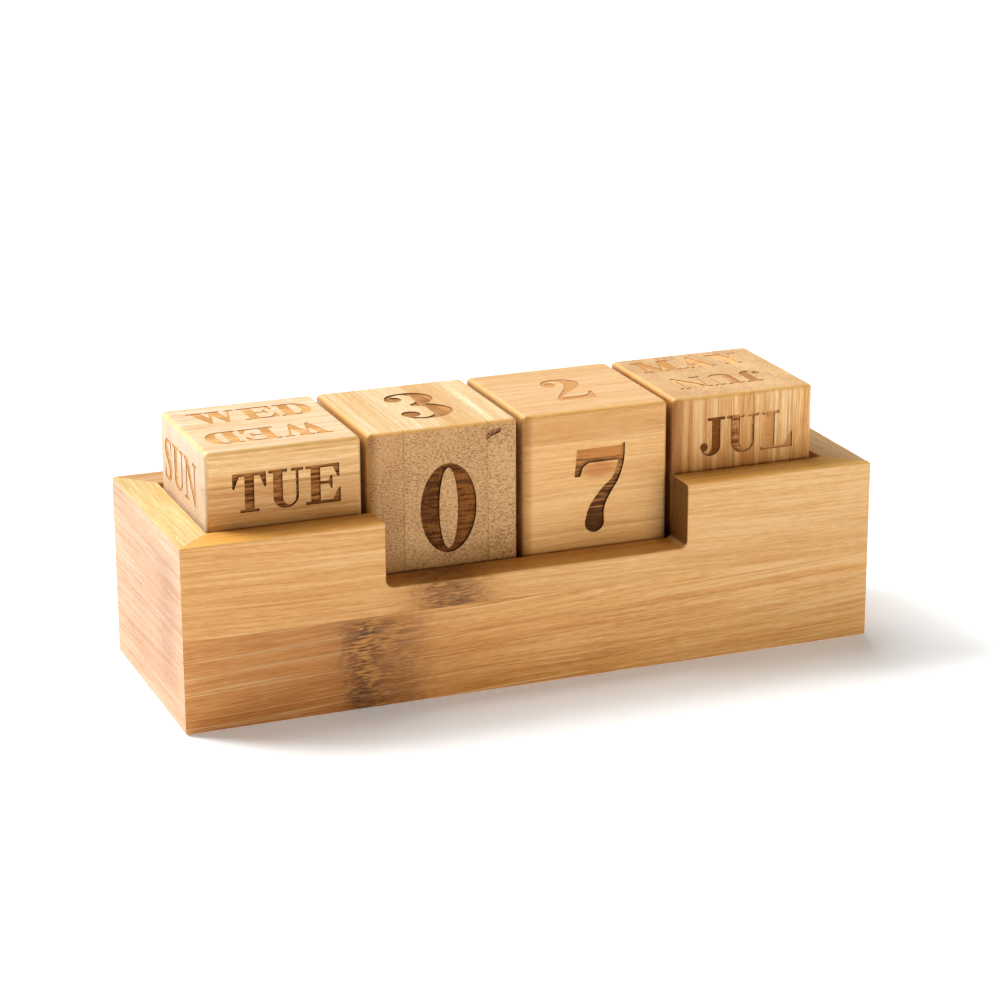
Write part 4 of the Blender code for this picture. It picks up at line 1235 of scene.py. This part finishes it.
def upper_strip(length, opening):
    """A strip up to the rim, outer face at y = 0. Its rim dips round the opening, if it has one."""
    bottom = SEAM_HEIGHT + GLUE_LINE / 2
    elevation = [
        (-length / 2, bottom),
        (length / 2, bottom),
        (length / 2, TRAY_HEIGHT),
        *opening,
        (-length / 2, TRAY_HEIGHT),
    ]
    shape = prism([(x, 0, z) for x, z in elevation], Vector((0, WALL, 0)))
    mitre_ends(shape, length)
    edges = shown_edges(shape, lambda face: not is_mitre(face) and face.normal.z >= -WALL_FACING)
    ease(shape, edges, TRAY_EDGE, TRAY_EDGE_SEGMENTS)
    return shape


def floor_panel():
    """The pocket's floor: a board whose lower part reaches into the grooves as a tongue."""
    reach_x = POCKET_LENGTH / 2 + TONGUE_REACH
    reach_y = POCKET_WIDTH / 2 + TONGUE_REACH
    outline = [(-reach_x, -reach_y), (reach_x, -reach_y), (reach_x, reach_y), (-reach_x, reach_y)]
    shape = prism([(x, y, FLOOR_RECESS) for x, y in outline], Vector((0, 0, TONGUE)))
    top = max(shape.faces, key=lambda face: face.calc_center_median().z)
    bmesh.ops.inset_region(shape, faces=[top], thickness=TONGUE_REACH + GLUE_LINE, use_even_offset=True)
    push(shape, [top], Vector((0, 0, FLOOR_TOP - FLOOR_RECESS - TONGUE)))
    bmesh.ops.delete(shape, geom=[top], context="FACES_ONLY")
    return shape


def build_tray():
    """Four mitred walls of two edge-glued strips each, round the floor panel."""
    for number, (side, (turn, *strips)) in enumerate(WALLS.items()):
        length, width = TRAY_LENGTH, TRAY_WIDTH
        if side in ("left", "right"):
            length, width = width, length
        opening = window_outline() if side == "front" else ()
        matrix = Matrix.Rotation(math.radians(turn), 4, "Z") @ Matrix.Translation((0, -width / 2, 0))
        shapes = lower_strip(length), upper_strip(length, opening)
        for level, shape, strip in zip(("lower", "upper"), shapes, strips):
            look = {
                **TRAY_LOOK,
                **strip,
                "seed": WALL_SEED * number + (UPPER_SEED if level == "upper" else 0),
                "centre": Vector((0, WALL / 2, TRAY_HEIGHT / 2)) / MM,
                "half": Vector((length / 2, WALL / 2, TRAY_HEIGHT / 2)) / MM,
            }
            add_piece(shape, look, f"{side}_wall_{level}_strip", "tray", matrix)
    look = {
        **FLOOR_LOOK,
        "centre": Vector((0, 0, (FLOOR_TOP + FLOOR_RECESS) / 2)) / MM,
        "half": Vector((TRAY_LENGTH, TRAY_WIDTH, (FLOOR_TOP - FLOOR_RECESS) / 2)) / MM,
    }
    add_piece(floor_panel(), look, "floor_panel", "tray")


def arc(centre, radii, start, end):
    """Points of an ellipse from one angle to another, in degrees."""
    steps = max(2, round(GLYPH_SIDES * abs(end - start) / 360))
    angles = [math.radians(start + (end - start) * step / steps) for step in range(steps + 1)]
    (x, y), (wide, high) = centre, radii
    return [Vector((x + wide * math.cos(angle), y + high * math.sin(angle))) for angle in angles]


def band(outer_centre, outer_radii, inner_centre, inner_radii, start, end):
    return arc(outer_centre, outer_radii, start, end) + arc(inner_centre, inner_radii, end, start)


def rectangle(left, low, right, high):
    return [Vector((left, low)), Vector((right, low)), Vector((right, high)), Vector((left, high))]


def post(left, right, low, high, serifs):
    """An upright bar with the serifs that are named."""
    bars = [rectangle(left, low, right, high)]
    for name, base, top in (("foot", low, low + SERIF_SHARE), ("head", high - SERIF_SHARE, high)):
        if name in serifs:
            bars.append(rectangle(left - SERIF_REACH_SHARE, base, right + SERIF_REACH_SHARE, top))
    return bars


def smooth_line(points):
    """Points of a smooth curve that passes through the given ones."""
    ends = [points[0], *points, points[-1]]
    line = []
    for before, first, second, after in zip(ends, ends[1:], ends[2:], ends[3:]):
        for step in range(RIBBON_STEPS):
            t = step / RIBBON_STEPS
            bend = 2 * before - 5 * first + 4 * second - after
            twist = 3 * first - before - 3 * second + after
            line.append(first + ((second - before) * t + bend * t**2 + twist * t**3) / 2)
    return [*line, points[-1]]


def ribbon(points):
    """Triangles along a smooth line whose points have an x, a y and a width."""
    line = smooth_line([Vector(point) for point in points])
    rims = []
    for place, before, after in zip(line, [line[0], *line], [*line[1:], line[-1]]):
        across = Vector((before.y - after.y, after.x - before.x)).normalized() * place.z / 2
        rims.append((place.xy + across, place.xy - across))
    pieces = []
    for (left, right), (next_left, next_right) in zip(rims, rims[1:]):
        pieces += [[left, right, next_right], [left, next_right, next_left]]
    return pieces


def strokes_of(character):
    """The outlines of a character's strokes, which may overlap."""
    outlines = []
    for kind, *numbers in GLYPH_SHARES[character]:
        if kind == "bar":
            outlines.append(rectangle(*numbers))
        elif kind == "post":
            outlines += post(*numbers)
        elif kind == "area":
            outlines.append([Vector(point) for point in numbers])
        elif kind == "band":
            outlines.append(band(*numbers))
        elif kind == "ring":
            centre, outer_radii, inner_radii = numbers
            for middle in (180, 0):
                outlines.append(band(centre, outer_radii, centre, inner_radii, middle - 90, middle + 90))
        elif kind == "ribbon":
            outlines += ribbon(numbers)
        elif kind == "dot":
            centre, radius = numbers
            outlines.append(arc(centre, (radius, radius), 0, 360)[:-1])
    return outlines


def signed_area(outline):
    return sum(here.cross(there) for here, there in zip(outline, [*outline[1:], outline[0]])) / 2


@functools.cache
def glyph(character):
    """Points and triangles of the area that a character's strokes cover together."""
    points, outlines = [], []
    for outline in strokes_of(character):
        area = signed_area(outline)
        if abs(area) < MERGE_SHARE**2:
            continue
        outlines.append(list(range(len(points), len(points) + len(outline))))
        points += outline if area > 0 else outline[::-1]
    points, _, triangles, _, _, sources = delaunay_2d_cdt(points, [], outlines, 1, MERGE_SHARE)
    return points, [triangle for triangle, source in zip(triangles, sources) if source]


def engrave_line(shape, text, place, height, depth):
    """Adds a prism for each character of a line of text that is centred on a place."""
    glyphs = [glyph(character) for character in text]
    reaches = [(min(p.x for p in points), max(p.x for p in points)) for points, _ in glyphs]
    left = -(sum(high - low for low, high in reaches) + LETTER_SPACE_SHARE * (len(text) - 1)) / 2
    inward = place.to_3x3() @ Vector((0, 0, -CUT_OVERRUN - depth))
    for (points, triangles), (low, high) in zip(glyphs, reaches):
        flat = bmesh.new()
        verts = [
            flat.verts.new(place @ Vector(((left + p.x - low) * height, (p.y - 0.5) * height, CUT_OVERRUN)))
            for p in points
        ]
        for triangle in triangles:
            flat.faces.new([verts[corner] for corner in triangle])
        loose = [vert for vert in flat.verts if not vert.link_faces]
        bmesh.ops.delete(flat, geom=loose, context="VERTS")
        bmesh.ops.dissolve_limit(flat, angle_limit=FLAT_ANGLE, verts=flat.verts[:], edges=flat.edges[:])
        push(flat, flat.faces[:], inward)
        bmesh.ops.recalc_face_normals(flat, faces=flat.faces[:])
        carried = bpy.data.meshes.new("character")
        flat.to_mesh(carried)
        flat.free()
        shape.from_mesh(carried)
        bpy.data.meshes.remove(carried)
        left += high - low + LETTER_SPACE_SHARE


def side_frame(side):
    """From a side's own frame, with its middle at the origin, to the cube's frame."""
    up, outward = SIDES[side]
    turn = Matrix((up.cross(outward), up, outward)).transposed()
    return Matrix.Translation(outward * BLOCK_SIDE / 2) @ turn.to_4x4()


def lettering_rows(block, side, texts):
    """The rows of text on a side: each text with its burn, its way round, its place and its height."""
    across, along = block.get("shifts", {}).get(side, (0, 0))
    here = side_frame(side) @ Matrix.Translation((across * MM, along * MM, 0))
    right, up, size = block["placings"].get(side, (0, 0, 1))
    placing = Matrix.Translation((right * MM, up * MM, 0))
    burns = block["burns"].get(side, "brown")
    if isinstance(burns, str):
        burns = burns, burns
    if isinstance(texts, str):
        texts, offset_share, height_share = (texts,), 0, DIGIT_HEIGHT_SHARE
    else:
        offset_share, height_share = ROW_OFFSET_SHARE, WORD_HEIGHT_SHARE
    for text, burn, way, turn in zip(texts, burns, (1, -1), (0, math.pi)):
        row = Matrix.Rotation(turn, 4, "Z") @ Matrix.Translation((0, offset_share * BLOCK_SIDE, 0))
        yield text, burn, way, here @ row @ placing, height_share * BLOCK_SIDE * size


def lettering_cutter(block):
    """The prisms that cut the lettering of all six sides of a cube, each row in its own burnt wood."""
    shape = bmesh.new()
    used = []
    for side, texts in block["lettering"].items():
        for text, burn, way, place, height in lettering_rows(block, side, texts):
            known = len(shape.faces)
            engrave_line(shape, text, place, height, BURNS[burn][-1])
            if (burn, way) not in used:
                used.append((burn, way))
            shape.faces.ensure_lookup_table()
            for face in shape.faces[known:]:
                is_wall = abs(face.normal.dot(SIDES[side][1])) < WALL_FACING
                face.material_index = 2 * used.index((burn, way)) + is_wall
    materials = []
    for burn, way in used:
        dark, pale, wall, _ = BURNS[burn]
        name = f"{block['name']}_{burn}_burn" + ("" if way > 0 else "_turned")
        look = {**block, "burn_drift": [way * part for part in block["burn_drift"]]}
        materials += [burnt(name, look, dark, pale), burnt(name + "_wall", look, wall, dark)]
    if block["name"] == "left_number_block":
        materials.append(broken_wood("chip_wood"))
        add_chip(shape, len(materials) - 1)
    return link_shape(block["name"] + "_cutter", shape, materials)


def add_chip(shape, material_index):
    """Adds a shallow wedge with a ragged outline to what is cut from a cube's front."""
    front = -BLOCK_SIDE / 2
    outer = [shape.verts.new((x * MM, front - CUT_OVERRUN, z * MM)) for x, z, _ in CHIP_CORNERS]
    inner = [shape.verts.new((x * MM, front + depth * MM, z * MM)) for x, z, depth in CHIP_CORNERS]
    middle = shape.verts.new(sum((vert.co for vert in inner), Vector()) / len(inner))
    faces = [shape.faces.new(outer)]
    for number, vert in enumerate(outer):
        last = number - 1
        faces.append(shape.faces.new((outer[last], vert, inner[number], inner[last])))
        faces.append(shape.faces.new((inner[last], inner[number], middle)))
    for face in faces:
        face.material_index = material_index


def block_slice(along, start_share, end_share, glue_line):
    """The part of an eased cube between two seams, or between a seam and the cube's own side."""
    shape = bmesh.new()
    bmesh.ops.create_cube(shape, size=BLOCK_SIDE)
    ease(shape, shape.edges[:], BLOCK_EDGE, EDGE_SEGMENTS)
    for side, share in ((-1, start_share), (1, end_share)):
        if 0 < share < 1:
            place = (share - 0.5) * BLOCK_SIDE - side * glue_line / 2
            keep_side(shape, along * place, along * side)
    return shape


def build_block(block):
    """One cube: its glued pieces, all cut by the same lettering."""
    nodes = block_nodes(block)
    low, high = span(*nodes)
    matrix = Matrix.Translation((low + high) / 2)
    cutter = lettering_cutter(block)
    cutter.matrix_world = matrix
    seam_shares = (0, *block["seam_shares"], 1)
    for number, node in enumerate(nodes):
        look = {
            **BLOCK_LOOK,
            **block,
            "seed": block["seed"] + PIECE_SEED * number,
            "tone": block["tones"][number],
            "end_tone": block["end_tones"][number],
            "centre": Vector((0, 0, 0)),
            "half": Vector((1, 1, 1)) * BLOCK_SIDE / 2 / MM,
        }
        shape = block_slice(block["along"], *seam_shares[number : number + 2], look["glue_line"])
        add_piece(shape, look, node, block["name"], matrix, cutter)
    bpy.data.objects.remove(cutter, do_unlink=True)


def add_sun(name, direction, strength, spread, colour):
    """A soft light from far away, which shines from a direction towards the object."""
    light = bpy.data.lights.new(name, "SUN")
    light.energy = strength
    light.angle = spread
    light.color = colour
    link(name, light).rotation_euler = direction.to_track_quat("Z", "Y").to_euler()


def add_stage(name, corners, faces, glow):
    """A surface of white paper that isn't part of the object."""
    material, tree, shader = new_material(name + "_paper")
    paper = {
        "Base Color": (*FLOOR_COLOUR, 1),
        "Roughness": PAPER_ROUGHNESS,
        "Specular IOR Level": PAPER_SPECULAR,
        "Emission Color": (*FLOOR_COLOUR, 1),
        "Emission Strength": glow,
    }
    fill(tree, shader, paper)
    mesh = bpy.data.meshes.new(name)
    mesh.from_pydata(corners, [], faces)
    mesh.materials.append(material)
    surface = link(name, mesh)
    return surface


def build_stage():
    """A pale floor in soft studio light, with a round backdrop far off that gives no light."""
    square = ((-1, -1), (1, -1), (1, 1), (-1, 1))
    corners = [(x * FLOOR_HALF, y * FLOOR_HALF, -FLOOR_DROP) for x, y in square]
    add_stage("floor", corners, [(0, 1, 2, 3)], FLOOR_GLOW)
    angles = [math.tau * step / BACKDROP_SIDES for step in range(BACKDROP_SIDES)]
    corners = [
        (BACKDROP_RADIUS * math.cos(angle), BACKDROP_RADIUS * math.sin(angle), z)
        for z in (-FLOOR_DROP, BACKDROP_HEIGHT)
        for angle in angles
    ]
    faces = []
    for step in range(BACKDROP_SIDES):
        after = (step + 1) % BACKDROP_SIDES
        faces.append((step, after, after + BACKDROP_SIDES, step + BACKDROP_SIDES))
    backdrop = add_stage("backdrop", corners, faces, BACKDROP_GLOW)
    backdrop.visible_diffuse = False
    backdrop.visible_glossy = False
    backdrop.visible_shadow = False
    for name, settings in LIGHTS.items():
        add_sun(name, *settings)
    world = bpy.data.worlds.new("sky")
    world.use_nodes = True
    sky = {"Color": (*SKY_COLOUR, 1), "Strength": SKY_STRENGTH}
    fill(world.node_tree, world.node_tree.nodes["Background"], sky)
    bpy.context.scene.world = world
    bpy.context.scene.view_settings.view_transform = "Standard"


def build_camera():
    """The photograph's view of the object."""
    level = math.cos(CAMERA_ELEVATION)
    ahead, aside = math.sin(CAMERA_AZIMUTH), math.cos(CAMERA_AZIMUTH)
    back = Vector((ahead * level, -aside * level, math.sin(CAMERA_ELEVATION)))
    right = Vector((aside, ahead, 0))
    turn = Matrix((right, back.cross(right), back)).transposed() @ Matrix.Rotation(CAMERA_ROLL, 3, "Z")
    lens = bpy.data.cameras.new("camera")
    lens.lens = CAMERA_LENS
    lens.sensor_width = CAMERA_SENSOR
    camera = link("camera", lens)
    camera.matrix_world = Matrix.Translation(CAMERA_TARGET + back * CAMERA_DISTANCE) @ turn.to_4x4()
    bpy.context.scene.camera = camera


build_camera()
build_stage()
build_tray()
for block in BLOCKS:
    build_block(block)
